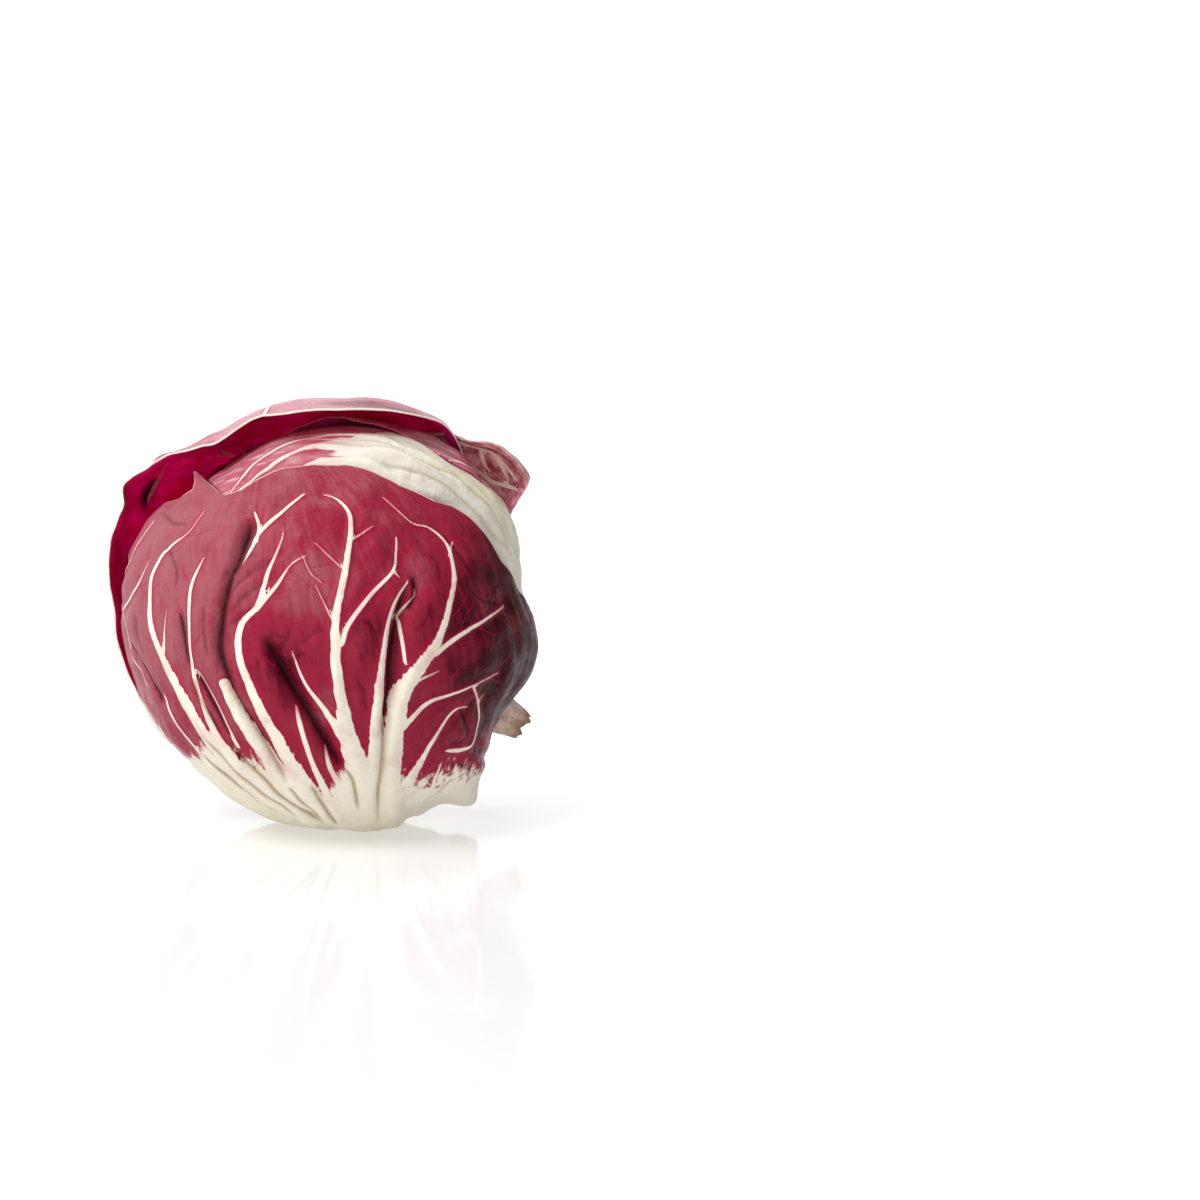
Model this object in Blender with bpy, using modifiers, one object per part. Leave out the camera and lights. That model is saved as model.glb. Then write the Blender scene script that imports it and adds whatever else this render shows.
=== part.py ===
"""A radicchio: a round head of leaves wrapped about a short cut stem.

Every leaf lies on its own round layer about the head's centre.  A leaf is an open sheet, spread from
its middle out to a lobed outline, with one lobe that runs to the stem as its stalk, and then given
its thickness.  The head rests on z = 0 on the flattened side of its front leaf and faces -Y.
"""
import math

import bmesh
import bpy
from mathutils import Vector

# Driving sizes, in metres.
HEAD_RADIUS = 0.056        # outer face of the front leaf
FLAT_DEPTH = 0.0016        # how far the resting side is pressed flat
LEAF_THICKNESS = 0.0009
LEAF_GAP = 0.0006          # clear space between two outer leaves
INNER_COUNT = 6
INNER_THICKNESS = 0.0022
INNER_GAP = 0.0020         # clear space between two inner leaves
STEM_RADIUS = 0.0062       # where the stem leaves the head
CORE_RADIUS = 0.0056       # at the stem's inner end
CUT_RADIUS = 0.0037        # at the cut end of the stub
STUB_LENGTH = 0.0128       # how far the cut end stands out of the head
CUT_EDGE = 0.0008          # rounding of the cut end's rim
STEM_GAP = 0.0003          # between the stem and the leaves or the heart

# Directions from the head's centre, and angles in degrees.
STEM_DIRECTION = Vector((0.80, 0.38, -0.465)).normalized()
STALK_SPREAD = 17.0        # half width of a leaf's stalk lobe
INNER_TILT = 75.0          # from the head's top to the middle of an inner leaf
INNER_REACH = 80.0
GOLDEN_ANGLE = 137.5

LAYER = LEAF_THICKNESS + LEAF_GAP
INNER_LAYER = INNER_THICKNESS + INNER_GAP
CENTRE = Vector((0.0, 0.0, HEAD_RADIUS - FLAT_DEPTH))
UP = Vector((0.0, 0.0, 1.0))

# Where the whole head bulges or is flattened: direction, share of the radius, width in degrees.
LUMPS = (
    ((-0.72, -0.20, -0.66), -0.050, 28.0),
    ((0.80, -0.20, -0.56), -0.030, 20.0),
    ((-0.20, -0.20, 0.95), -0.040, 26.0),
    ((0.75, -0.15, 0.65), 0.035, 26.0),
)

# Outer leaves: layer number (0 is the head's radius, below 0 is outside it), middle, number of grid
# cells, outline as (angle about the middle, reach) and flare as (angle, height, width) at the rim.
OUTER_LEAVES = {
    "front_leaf": (
        0, (0.0, -1.0, 0.0), 24,
        ((-175, 99), (-135, 100), (-100, 106), (-60, 112), (-12, 100), (2, 90), (10, 79), (20, 66),
         (32, 60), (60, 49), (83, 51), (106, 52), (119, 55), (131, 72), (149, 84), (163, 95)),
        (),
    ),
    "crown_leaf": (
        1, (0.46, -0.41, 0.79), 16,
        ((-60, 58), (0, 60), (60, 45), (110, 48), (152, 70), (185, 55), (240, 45)),
        (),
    ),
    "shoulder_leaf": (
        -1, (0.32, 0.33, 0.888), 12,
        ((0, 46), (60, 44), (115, 34), (150, 38), (190, 43), (225, 50), (300, 50)),
        (),
    ),
    "hood_leaf": (
        -2, (-0.35, 0.80, 0.49), 20,
        ((-70, 60), (-35, 64), (-8, 80), (15, 79), (38, 82), (73, 74), (105, 80), (122, 82),
         (150, 60), (185, 55), (240, 55)),
        ((38.0, 0.0070, 20.0), (75.0, 0.0050, 24.0), (-5.0, 0.0010, 20.0)),
    ),
    "right_leaf": (
        -3, (0.72, 0.62, 0.31), 14,
        ((0, 50), (60, 52), (100, 47), (131, 50), (155, 40), (180, 34), (225, 33), (270, 33), (320, 42)),
        ((131.0, 0.0075, 26.0),),
    ),
    "under_leaf": (
        2, (-0.15, 0.62, -0.77), 12,
        ((0, 44), (70, 48), (150, 50), (200, 43), (270, 47)),
        (),
    ),
    "back_leaf": (
        3, (-0.35, 0.90, -0.25), 12,
        ((0, 50), (90, 54), (150, 46), (200, 44), (270, 50)),
        (),
    ),
}
INNERMOST_OUTER = max(leaf[0] for leaf in OUTER_LEAVES.values())
FIRST_INNER_DEPTH = INNERMOST_OUTER * LAYER + LEAF_THICKNESS + INNER_GAP / 2
HEART_RADIUS = HEAD_RADIUS - FIRST_INNER_DEPTH - INNER_COUNT * INNER_LAYER
HEART_WAIST = 0.94         # the heart's width as a share of its length

COLOURS = {
    "front_leaf": (0.36, 0.06, 0.12),
    "crown_leaf": (0.80, 0.70, 0.64),
    "shoulder_leaf": (0.62, 0.42, 0.42),
    "hood_leaf": (0.50, 0.05, 0.17),
    "right_leaf": (0.20, 0.03, 0.06),
    "under_leaf": (0.42, 0.10, 0.16),
    "back_leaf": (0.34, 0.06, 0.12),
    "inner_leaf": (0.74, 0.52, 0.54),
    "heart": (0.78, 0.66, 0.60),
    "stem": (0.60, 0.47, 0.36),
}
STEM_ROUGHNESS = 0.55
LEAF_ROUGHNESS = 0.35


def clear_scene():
    for old in list(bpy.data.objects):
        bpy.data.objects.remove(old, do_unlink=True)


def material_for(name, roughness):
    material = bpy.data.materials.new(name)
    material.use_nodes = True
    shader = material.node_tree.nodes["Principled BSDF"]
    shader.inputs["Base Color"].default_value = (*COLOURS[name], 1.0)
    shader.inputs["Roughness"].default_value = roughness
    shader.inputs["Metallic"].default_value = 0.0
    return material


def angle_between(a, b):
    """Angle in degrees between two unit directions."""
    return math.degrees(math.acos(max(-1.0, min(1.0, a.dot(b)))))


def turn_between(a, b):
    """Difference of two angles in degrees, from -180 to 180."""
    return (a - b + 180.0) % 360.0 - 180.0


def hump(offset, width):
    """A smooth rise to 1 at no offset that fades over the width."""
    return math.exp(-((offset / width) ** 2))


def lump_factor(direction):
    """Radius of the lumpy head along a direction, as a share of a true ball's."""
    factor = 1.0
    for towards, height, width in LUMPS:
        offset = angle_between(direction, Vector(towards).normalized())
        factor += height * hump(offset, width)
    return factor


def point_on_layer(direction, depth, flare=0.0):
    """Point of the layer that lies this deep under the head's outer face, with its flat underside."""
    radius = (HEAD_RADIUS - depth) * lump_factor(direction) + flare
    down = -direction.z
    floor_distance = HEAD_RADIUS - FLAT_DEPTH - depth
    if down * radius > floor_distance:
        radius = floor_distance / down
    return CENTRE + direction * radius


def leaf_axes(middle):
    """Sideways and upward directions of a leaf at its middle."""
    side = UP.cross(middle).normalized()
    return side, middle.cross(side)


def outline_reach(outline, angle):
    """Reach of a blade at an angle, eased from one outline point to the next."""
    points = sorted(outline)
    following = next((p for p in points if p[0] > angle), None)
    if following is None:
        previous = points[-1]
        following = (points[0][0] + 360.0, points[0][1])
    elif following is points[0]:
        previous = (points[-1][0] - 360.0, points[-1][1])
    else:
        previous = points[points.index(following) - 1]
    share = (angle - previous[0]) / (following[0] - previous[0])
    ease = (1.0 - math.cos(math.pi * share)) / 2.0
    return previous[1] + (following[1] - previous[1]) * ease


def stem_radius_at(distance):
    """Radius of the stem at a distance from the head's centre, down to its inner end."""
    start = HEART_RADIUS + STEM_GAP
    share = (distance - start) / (HEAD_RADIUS - start)
    return CORE_RADIUS + (STEM_RADIUS - CORE_RADIUS) * max(0.0, min(1.0, share))


def make_leaf(name, middle, cells, outline, depth, thickness, flares, material):
    """A leaf: a grid spread over its layer out to the outline and the stem, then made thick."""
    side, up = leaf_axes(middle)
    inner_face = HEAD_RADIUS - depth - thickness
    ring = math.degrees(math.asin((stem_radius_at(HEAD_RADIUS - depth) + STEM_GAP) / inner_face))
    stalk_angle = math.degrees(math.atan2(STEM_DIRECTION.dot(up), STEM_DIRECTION.dot(side)))
    stalk_reach = angle_between(middle, STEM_DIRECTION) - ring
    mesh = bmesh.new()
    bmesh.ops.create_grid(mesh, x_segments=cells, y_segments=cells, size=1.0)
    for vertex in mesh.verts:
        a, b = vertex.co.x, vertex.co.y
        across, along = a * math.sqrt(1 - b * b / 2), b * math.sqrt(1 - a * a / 2)
        share = math.hypot(across, along)
        angle = math.degrees(math.atan2(along, across))
        reach = outline_reach(outline, (angle - outline[0][0]) % 360.0 + outline[0][0])
        reach += (stalk_reach - reach) * hump(turn_between(angle, stalk_angle), STALK_SPREAD)
        far = math.radians(reach * share)
        turn = math.radians(angle)
        direction = middle * math.cos(far) + (side * math.cos(turn) + up * math.sin(turn)) * math.sin(far)
        flare = sum(height * hump(turn_between(angle, at), width) for at, height, width in flares)
        vertex.co = point_on_layer(direction, depth, flare * share ** 6)
    bmesh.ops.recalc_face_normals(mesh, faces=mesh.faces[:])
    mesh.faces.ensure_lookup_table()
    first = mesh.faces[0]
    if first.normal.dot(first.calc_center_median() - CENTRE) < 0:
        bmesh.ops.reverse_faces(mesh, faces=mesh.faces[:])
    leaf = add_object(name, mesh, material)
    shell = leaf.modifiers.new("Thickness", "SOLIDIFY")
    shell.thickness = thickness
    shell.offset = -1.0
    shell.use_even_offset = True
    return leaf


def add_object(name, mesh, material):
    """Store a mesh as a smooth-shaded object of the radicchio collection."""
    data = bpy.data.meshes.new(name)
    mesh.to_mesh(data)
    mesh.free()
    data.polygons.foreach_set("use_smooth", [True] * len(data.polygons))
    data.materials.append(material)
    thing = bpy.data.objects.new(name, data)
    bpy.data.collections["radicchio"].objects.link(thing)
    return thing


def make_outer_leaves():
    for name, (layer, middle, cells, outline, flares) in OUTER_LEAVES.items():
        make_leaf(name, Vector(middle).normalized(), cells, outline, layer * LAYER,
                  LEAF_THICKNESS, flares, material_for(name, LEAF_ROUGHNESS))


def make_inner_leaves():
    """Inner leaves follow each other round the head's axis by the golden angle, each one deeper."""
    material = material_for("inner_leaf", LEAF_ROUGHNESS)
    top = -STEM_DIRECTION
    side, up = leaf_axes(top)
    tilt = math.radians(INNER_TILT)
    outline = ((0, INNER_REACH), (180, INNER_REACH))
    for index in range(INNER_COUNT):
        turn = math.radians(GOLDEN_ANGLE * index)
        outward = side * math.cos(turn) + up * math.sin(turn)
        middle = top * math.cos(tilt) + outward * math.sin(tilt)
        make_leaf(f"inner_leaf_{index + 1}", middle, 12, outline,
                  FIRST_INNER_DEPTH + index * INNER_LAYER, INNER_THICKNESS, (), material)


def make_heart():
    """The innermost leaves, folded into one tight bud that stands on the stem's core."""
    mesh = bmesh.new()
    bmesh.ops.create_uvsphere(mesh, u_segments=20, v_segments=12, radius=HEART_RADIUS)
    for vertex in mesh.verts:
        vertex.co.x *= HEART_WAIST
        vertex.co.y *= HEART_WAIST
    heart = add_object("heart", mesh, material_for("heart", LEAF_ROUGHNESS))
    heart.rotation_mode = "QUATERNION"
    heart.rotation_quaternion = STEM_DIRECTION.to_track_quat("Z", "Y")
    heart.location = CENTRE


def make_stem():
    """The stem: a turned core from the heart out to the cut end of the stub."""
    start = HEART_RADIUS + STEM_GAP
    length = HEAD_RADIUS + STUB_LENGTH - start
    skin = HEAD_RADIUS - start
    profile = (
        (0.0, length),
        (CUT_RADIUS - CUT_EDGE, length),
        (CUT_RADIUS, length - CUT_EDGE),
        (STEM_RADIUS, skin),
        (CORE_RADIUS, 0.0),
        (0.0, 0.0),
    )
    mesh = bmesh.new()
    points = [mesh.verts.new((radius, 0.0, height)) for radius, height in profile]
    for above, below in zip(points, points[1:]):
        mesh.edges.new((above, below))
    stem = add_object("stem", mesh, material_for("stem", STEM_ROUGHNESS))
    turning = stem.modifiers.new("Turning", "SCREW")
    turning.axis = "Z"
    turning.steps = 32
    turning.render_steps = 32
    turning.use_merge_vertices = True
    turning.merge_threshold = 0.00001
    stem.rotation_mode = "QUATERNION"
    stem.rotation_quaternion = STEM_DIRECTION.to_track_quat("Z", "Y")
    stem.location = CENTRE + STEM_DIRECTION * start


def main():
    clear_scene()
    collection = bpy.data.collections.new("radicchio")
    bpy.context.scene.collection.children.link(collection)
    make_stem()
    make_heart()
    make_inner_leaves()
    make_outer_leaves()


main()
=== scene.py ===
import math

import bpy
import numpy as np
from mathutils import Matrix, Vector


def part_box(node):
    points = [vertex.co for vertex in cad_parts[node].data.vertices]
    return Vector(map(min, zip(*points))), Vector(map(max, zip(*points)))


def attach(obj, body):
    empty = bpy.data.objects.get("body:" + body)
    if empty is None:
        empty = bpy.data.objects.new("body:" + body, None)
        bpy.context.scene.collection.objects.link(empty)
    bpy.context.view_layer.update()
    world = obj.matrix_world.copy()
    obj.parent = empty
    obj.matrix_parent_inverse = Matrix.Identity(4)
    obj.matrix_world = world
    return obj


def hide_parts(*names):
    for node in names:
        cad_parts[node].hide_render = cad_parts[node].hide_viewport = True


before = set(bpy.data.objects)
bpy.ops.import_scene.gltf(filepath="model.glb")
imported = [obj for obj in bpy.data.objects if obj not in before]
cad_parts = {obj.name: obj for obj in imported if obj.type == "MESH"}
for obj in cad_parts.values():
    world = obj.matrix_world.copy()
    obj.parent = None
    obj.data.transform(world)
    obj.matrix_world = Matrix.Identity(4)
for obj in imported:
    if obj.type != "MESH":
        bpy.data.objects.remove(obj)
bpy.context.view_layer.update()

# Lengths below are millimetres until a point is placed; the frame, the camera and the lamps are in metres.
MM = 0.001
HEART_LOW, HEART_HIGH = (np.array(corner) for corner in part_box("heart"))
CENTRE = (HEART_LOW + HEART_HIGH) / 2.0
RADIUS = (CENTRE[1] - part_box("front_leaf")[0][1]) / MM
DROP = CENTRE[2] / MM                    # from the head's centre down to the surface
DEGREE = RADIUS * math.pi / 180.0        # length of one degree on the ball of leaves

# The viewpoint: in front of the head, a little above it, with the head left of the middle.
DISTANCE = 1.0
ELEVATION = math.radians(8.0)
HEAD_LEFT = 0.0751
HEAD_BELOW = 0.0066
VIEW_WIDTH = 0.3276                      # width of the view at the head, in metres
BACKWARD = np.array([0.0, -math.cos(ELEVATION), math.sin(ELEVATION)])
RIGHT = np.array([1.0, 0.0, 0.0])
TOP = np.array([0.0, math.sin(ELEVATION), math.cos(ELEVATION)])
AIM = CENTRE + HEAD_LEFT * RIGHT + HEAD_BELOW * TOP
EYE = AIM + DISTANCE * BACKWARD
UP = np.array([0.0, 0.0, 1.0])


def unit(vector):
    return vector / np.linalg.norm(vector)


def axes_about(pole):
    """Sideways and upward directions about a pole."""
    side = unit(np.cross(UP, pole))
    return side, np.cross(pole, side)


FRONT = unit(EYE - CENTRE)
STEM_BOX = [np.array(corner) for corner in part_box("stem")]
STEM_TIP = np.array([STEM_BOX[1][0], STEM_BOX[1][1], STEM_BOX[0][2]])
STEM_AXIS = unit(STEM_TIP - CENTRE)
LEAF_FOOT = unit(0.19 * RIGHT + 0.16 * np.array([0.0, 1.0, 0.0]) - 0.97 * UP)   # where the front ribs meet

# The head's outline as seen from the front: (angle, radius).
HEAD_OUTLINE = (
    (-175, 54), (-163, 53), (-150, 53.5), (-136, 52.5), (-118, 54.5), (-97, 56), (-78, 57.5), (-62, 58),
    (-50, 59.5), (-45, 58.5), (-34, 53.5), (-26, 54), (-14, 57), (-7, 58), (0, 57), (10, 54.5), (18, 56),
    (29, 58.5), (35, 59), (50, 57), (71, 56), (90, 53.5),
    (110, 51.5), (123, 50.5), (136, 53), (149, 55.5),
    (165, 56.5), (176, 55),
)
# Ribs, folds and borders below are given to half a millimetre from the head's centre as seen from
# the front: (right, up, width), from a rib's foot to its tip.
FRONT_RIBS = {
    "midrib": (
        (11, -56, 9), (11, -44, 8.5), (7, -33, 5), (4.5, -21, 3), (3, -10, 2.5), (3, 2, 2), (5, 12, 1.6),
        (6.5, 21, 1.3), (7, 26, 1.1), (6.5, 30.5, 0.9), (3.5, 34.5, 0.5), (0, 36, 0.25),
    ),
    "branch": (
        (4.5, -5.5, 1.3), (6.5, 0, 1.1), (12.5, 8, 0.9),
        (18.5, 14.5, 0.7), (19.5, 20, 0.5), (19.5, 23.5, 0.3),
    ),
    "branch_tip": ((18.5, 14.5, 0.6), (20, 13, 0.3)),
    "gap_wall": (
        (12.5, -49, 4), (13.5, -38, 4.4), (14.5, -23, 3.2),
        (15.5, -12, 2), (17, -1.5, 1.2), (19.5, 6.5, 0.9),
        (22.5, 11.5, 0.4),
    ),
    "gap_vein": ((22, -10.5, 0.7), (21, 0, 0.7), (20.5, 2.5, 0.7), (24.5, 7.5, 0.3), (25, 9.5, 0.25)),
    "right_rib": (
        (17.5, -53.5, 5.6), (17.5, -41, 5.5), (19.5, -25.5, 4.8), (21, -19, 5), (26.5, -10.5, 3.7),
        (31.5, -2.5, 2.2), (34.5, 8, 1.6), (34.5, 15.5, 1.2), (32.5, 22.5, 0.8), (28.5, 26.5, 0.4),
        (23.5, 28, 0.3), (16, 34.5, 0.2),
    ),
    "right_spur": ((33.5, 18.5, 0.6), (34.5, 22, 0.25)),
    "right_branch": ((30, -8, 1.6), (37, -3, 1.1), (45, 2, 0.6), (49.5, 5, 0.25)),
    "right_small": ((24.5, -16, 0.7), (31, -13, 0.25)),
    "low_right": (
        (17.5, -32.5, 3.2), (20.5, -28.5, 2), (28, -22, 1.1),
        (36, -19, 0.6), (47.5, -13.5, 0.25),
    ),
    "low_right_down": (
        (40.5, -17, 0.5), (42.5, -21.5, 0.6), (42.5, -26.5, 0.6), (39.5, -32.5, 0.7), (36, -33.5, 1.1),
        (32.5, -33.5, 0.7),
    ),
    "low_right_fork": ((42.5, -21.5, 0.4), (44, -20, 0.25)),
    "lobe_rib": ((22, -42.5, 3.2), (25.5, -36.5, 1.8), (30.5, -29, 1), (35.5, -24, 0.6), (39, -23, 0.4)),
    "lobe_spur": ((28.5, -43, 1.1), (30.5, -37, 0.4)),
    "left_one": ((5.5, -31.5, 2.9), (-0.5, -23, 1.4), (-5.5, -16.5, 0.8), (-9, -8, 0.25)),
    "left_two": ((2, -48.5, 2.4), (-3, -38, 1.4), (-6.5, -28, 1.1), (-8, -23, 0.3)),
    "left_two_b": ((6.5, -48.5, 1.9), (1.5, -38.5, 1.1), (0, -34, 0.25)),
    "fork_stem": (
        (1, -52, 5.6), (-4, -45.5, 5.6), (-13.5, -31, 3.5), (-19, -20.5, 2.7), (-22.5, -12.5, 2.2),
        (-24, -5, 1.8), (-22.5, 0.5, 1.6), (-18, 5.5, 1.3),
        (-15.5, 14, 0.9), (-12, 23, 0.3), (-11.5, 25, 0.2),
    ),
    "fork_right": ((-18.5, 4, 1), (-13.5, 10, 0.8), (-9.5, 16, 0.3), (-5.5, 18.5, 0.2)),
    "pocket_rib": (
        (6.5, -55, 3.5), (-6, -47, 4.8), (-16.5, -35, 4.2),
        (-23.5, -24.5, 3), (-28, -16, 1.8),
    ),
    "long_rib": (
        (-4, -53.5, 4.8), (-18, -44.5, 4.2), (-27.5, -33.5, 2.4), (-33.5, -23, 1.1), (-36.5, -12, 1),
        (-37, 2, 0.9), (-36.5, 10.5, 0.9), (-33.5, 18, 0.3),
    ),
    "long_rib_b": ((-24, -33.5, 1.1), (-30, -22, 0.6), (-35, -13, 0.4)),
    "broad_rib": (
        (-10, -51, 4.8), (-25, -39.5, 5.1), (-38, -23, 4.8),
        (-43.5, -13, 3.5), (-47, -4.5, 2.1), (-48, 4, 1.8),
        (-47, 13, 1.4), (-43, 20, 0.8), (-37.5, 25, 0.3), (-34, 31.5, 0.25),
    ),
    "broad_rib_b": ((-45, -8.5, 1.1), (-44.5, -1, 0.4), (-44, 4, 0.2)),
    "rim_rib": ((-25.5, -46, 2.4), (-36.5, -34.5, 1.2), (-43, -25.5, 0.8), (-45.5, -20.5, 0.5)),
    "left_edge": (
        (-50, -17, 0.6), (-54.5, -8, 0.6), (-55.5, 1, 0.6),
        (-56, 9.5, 0.7), (-52, 19.5, 0.6), (-47, 28.5, 0.4),
    ),
    "left_edge_b": ((-55.5, 4, 0.6), (-51, 10, 0.6), (-48, 17, 0.25)),
    "upper_rib": ((-23, 17.5, 0.7), (-20, 22, 1.3), (-19, 24.5, 1.2), (-12.5, 30.5, 0.9), (-6, 36, 0.5)),
    "upper_spur": ((-19, 23, 1), (-18.5, 27.5, 0.9), (-19.5, 31, 0.4)),
    "vein_a": ((2.5, 0, 0.3), (-2.5, 10.5, 0.12)),
    "vein_b": ((5.5, 14.5, 0.3), (-2.5, 22, 0.1)),
    "vein_c": ((7.5, 23, 0.3), (13, 26.5, 0.12)),
    "vein_d": ((-6, 18.5, 0.12), (-4, 14, 0.16), (-1, 11.5, 0.12)),
}
# Folds where the leaf is drawn in, in the same terms.
FRONT_PLEATS = {
    "strip_fold": (
        (-19.5, 30.5, 1.1), (-21, 26, 2.4), (-24.5, 16, 1.3), (-27.5, 6.5, 1.4), (-29, -4.5, 1.8),
        (-28.5, -10, 2), (-25.5, -18.5, 1), (-19, -28.5, 0.8), (-12, -39.5, 0.7), (-10, -43.5, 0.5),
    ),
    "lobe_gap": (
        (-17, -3, 1.1), (-14.5, -7.5, 2.9), (-9, -17, 4.3),
        (-3, -27, 3.7), (3, -36.5, 1.8), (5, -38.5, 0.8),
    ),
    "lobe_crease": ((5, -38.5, 0.6), (7.5, -41.5, 0.7), (9, -49.5, 0.5)),
    "seam": (
        (23.5, 13, 1.1), (21, 4, 2.4), (19, -9, 3.7),
        (18.5, -16.5, 3.2), (16.5, -26, 1.4), (16, -34.5, 1),
        (14.5, -45.5, 0.6), (14, -53.5, 0.5),
    ),
    "pocket": ((24, 13.5, 0.8), (25, 10.5, 1.3), (24.5, 7, 1.1), (23, 3.5, 0.8)),
    "wedge": ((-39.5, 3.5, 0.5), (-39, -1.5, 1.1), (-37.5, -12.5, 0.4)),
    "fold_a": ((-35.5, -12.5, 0.4), (-33.5, -17.5, 1.1), (-28, -28, 0.7), (-25, -31, 0.3)),
    "fold_b": ((-36, -14.5, 0.4), (-34.5, -20.5, 0.5), (-28.5, -30.5, 0.4)),
    "edge_wedge": ((-54.5, -4.5, 0.3), (-53, -8, 1), (-48, -17.5, 0.7), (-45.5, -23, 0.4)),
    "right_fold": ((37, -23, 0.4), (38.5, -25, 1), (39, -28.5, 0.8), (38, -31, 0.4)),
    "lobe_corner": ((39.5, -33.5, 0.4), (42, -34.5, 0.8), (44, -36.5, 0.4)),
    "base_a": ((-27, -32.5, 0.6), (-14, -45.5, 0.7), (1, -54, 0.5)),
    "base_b": ((-34, -29.5, 0.5), (-21.5, -42.5, 0.8), (-6, -52.5, 0.5)),
    "base_c": ((-10, -43.5, 0.8), (-5.5, -48.5, 1), (-0.5, -53, 0.6)),
    "base_d": ((-36.5, -34.5, 0.4), (-21.5, -48, 0.8), (-12, -53, 0.6)),
    "base_e": ((34, -40, 0.6), (30, -44.5, 1.1), (26, -48.5, 0.6)),
    "base_f": ((40.5, -40, 0.5), (36.5, -45.5, 1), (34, -48.5, 0.5)),
    "base_g": ((-4, -42.5, 0.6), (0, -48.5, 0.8), (3.5, -53.5, 0.5)),
}
CROWN_RIBS = {
    "top_rib": (
        (50.5, 15.5, 4.8), (45, 25, 4), (35, 38.5, 2.7),
        (22.5, 47.5, 1.6), (9, 52.5, 1.4), (-5.5, 52.5, 1.1),
        (-20, 46.5, 0.7), (-31.5, 35.5, 0.3),
    ),
    "second_rib": (
        (50, 18.5, 5.6), (41, 30.5, 7.2), (20.5, 44, 6.1), (10.5, 48, 4), (2.5, 50, 2.4), (-5.5, 50, 1.8),
        (-18, 45, 1), (-28.5, 37, 0.5), (-33, 32, 0.3),
    ),
    "third_rib": (
        (49, 17, 6.4), (39.5, 27.5, 8), (18.5, 39.5, 8.8), (10.5, 44, 6.7), (4, 46, 4), (-2, 46.5, 2.6),
        (-8.5, 44.5, 1.8), (-18, 39, 0.6),
    ),
    "fourth_rib": ((49, 15.5, 6.4), (40.5, 22, 8), (30.5, 28, 8.8), (22, 33, 7.2), (15.5, 38, 4.8)),
}
CROWN_PLEATS = {
    "upper": ((50.5, 18.5, 0.8), (33, 36.5, 0.8), (12.5, 46, 0.6)),
    "middle": ((50, 17, 1), (35, 32, 1.1), (17, 38.5, 0.6)),
    "lower": ((49.5, 15.5, 1), (37, 25, 1.3), (22.5, 31.5, 0.6)),
    "lowest": ((50.5, 12, 1), (41, 18.5, 1.3), (35.5, 21, 0.8)),
    "highest": ((50.5, 18.5, 0.7), (40.5, 34.5, 0.8), (25, 45, 0.6)),
}
# The line below which the front leaf is cream: (right, up).
WHITE_LINE = (
    (-58, -13.5), (-45.5, -28.5), (-37.5, -38), (-34, -37.5), (-29.5, -33), (-25.5, -33), (-20, -36.5),
    (-10, -36.5), (-3.5, -42.5), (2, -44.5), (11, -34),
    (15.5, -36.5), (24.5, -41), (30, -40.5), (34.5, -37.5),
    (42, -38.5), (45, -34), (50.5, -36), (58.5, -37.5),
)




# How far a rib, a pleat and a fine vein reach sideways on a leaf, in mm.
RIB_REACH = 7.0
PLEAT_REACH = 10.0
VEIN_REACH = 2.4
NO_VEIN = 5.0                            # distance given where no fine vein is near, in mm
NO_BASE = -20.0                          # distance given where a leaf has no white base, in mm
VEIN_SLANT = 48.0                        # degrees between a fine vein and the rib that it leaves
LINE_STEPS = 6                           # steps between two points of a hand-set line
FORKS = 5                                # side veins of each fanned rib
# How far outlines are rounded, in degrees.
MARGIN_BLUR = 0.5
OUTLINE_BLUR = 2.0


def smooth_step(value, low, high):
    share = np.clip((value - low) / (high - low), 0.0, 1.0)
    return share * share * (3.0 - 2.0 * share)


def hump(offset, width):
    return np.exp(-((offset / width) ** 2))


def turn_between(a, b):
    return (a - b + 180.0) % 360.0 - 180.0


def ring(points, blur=2.5):
    """A smooth closed curve through (angle, value) points, as a function of the angle in degrees."""
    points = sorted((angle % 360.0, value) for angle, value in points)
    angles, values = zip(*points)
    grid = np.arange(0.0, 360.0, 0.25)
    table = np.interp(grid, angles, values, period=360.0)
    steps = np.arange(-60, 61)
    weights = np.exp(-((steps * 0.25 / blur) ** 2))
    weights /= weights.sum()
    table = sum(weight * np.roll(table, step) for step, weight in zip(steps, weights))
    return lambda angle: np.interp(np.asarray(angle) % 360.0, grid, table, period=360.0)


def noise(points, size, seed):
    """Smooth noise from -1 to 1 over points, one value for each lattice cell of this size."""
    spot = np.asarray(points) / size + 57.3 * seed
    cell = np.floor(spot).astype(np.int64)
    part = spot - cell
    part = part * part * (3.0 - 2.0 * part)
    total = np.zeros(spot.shape[:-1])
    for corner in np.ndindex(2, 2, 2):
        at = cell + corner
        mixed = (at[..., 0] * 73856093) ^ (at[..., 1] * 19349663) ^ (at[..., 2] * 83492791)
        value = ((mixed * 2654435761) % 4294967296) / 2147483648.0 - 1.0
        weight = np.ones(value.shape)
        for axis in range(3):
            weight = weight * (part[..., axis] if corner[axis] else 1.0 - part[..., axis])
        total += weight * value
    return total


def angles_about(directions, pole):
    """Turn about a pole, in degrees, and angle away from it, of unit directions."""
    side, rise = axes_about(pole)
    turn = np.degrees(np.arctan2(directions @ rise, directions @ side))
    away = np.degrees(np.arccos(np.clip(directions @ pole, -1.0, 1.0)))
    return turn, away


def towards(turn, away, pole):
    """Unit directions at a turn about a pole and an angle away from it, in degrees."""
    side, rise = axes_about(pole)
    turn, away = np.radians(np.asarray(turn, float)), np.radians(np.asarray(away, float))
    across = np.cos(turn)[..., None] * side + np.sin(turn)[..., None] * rise
    return np.cos(away)[..., None] * pole + np.sin(away)[..., None] * across


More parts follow.
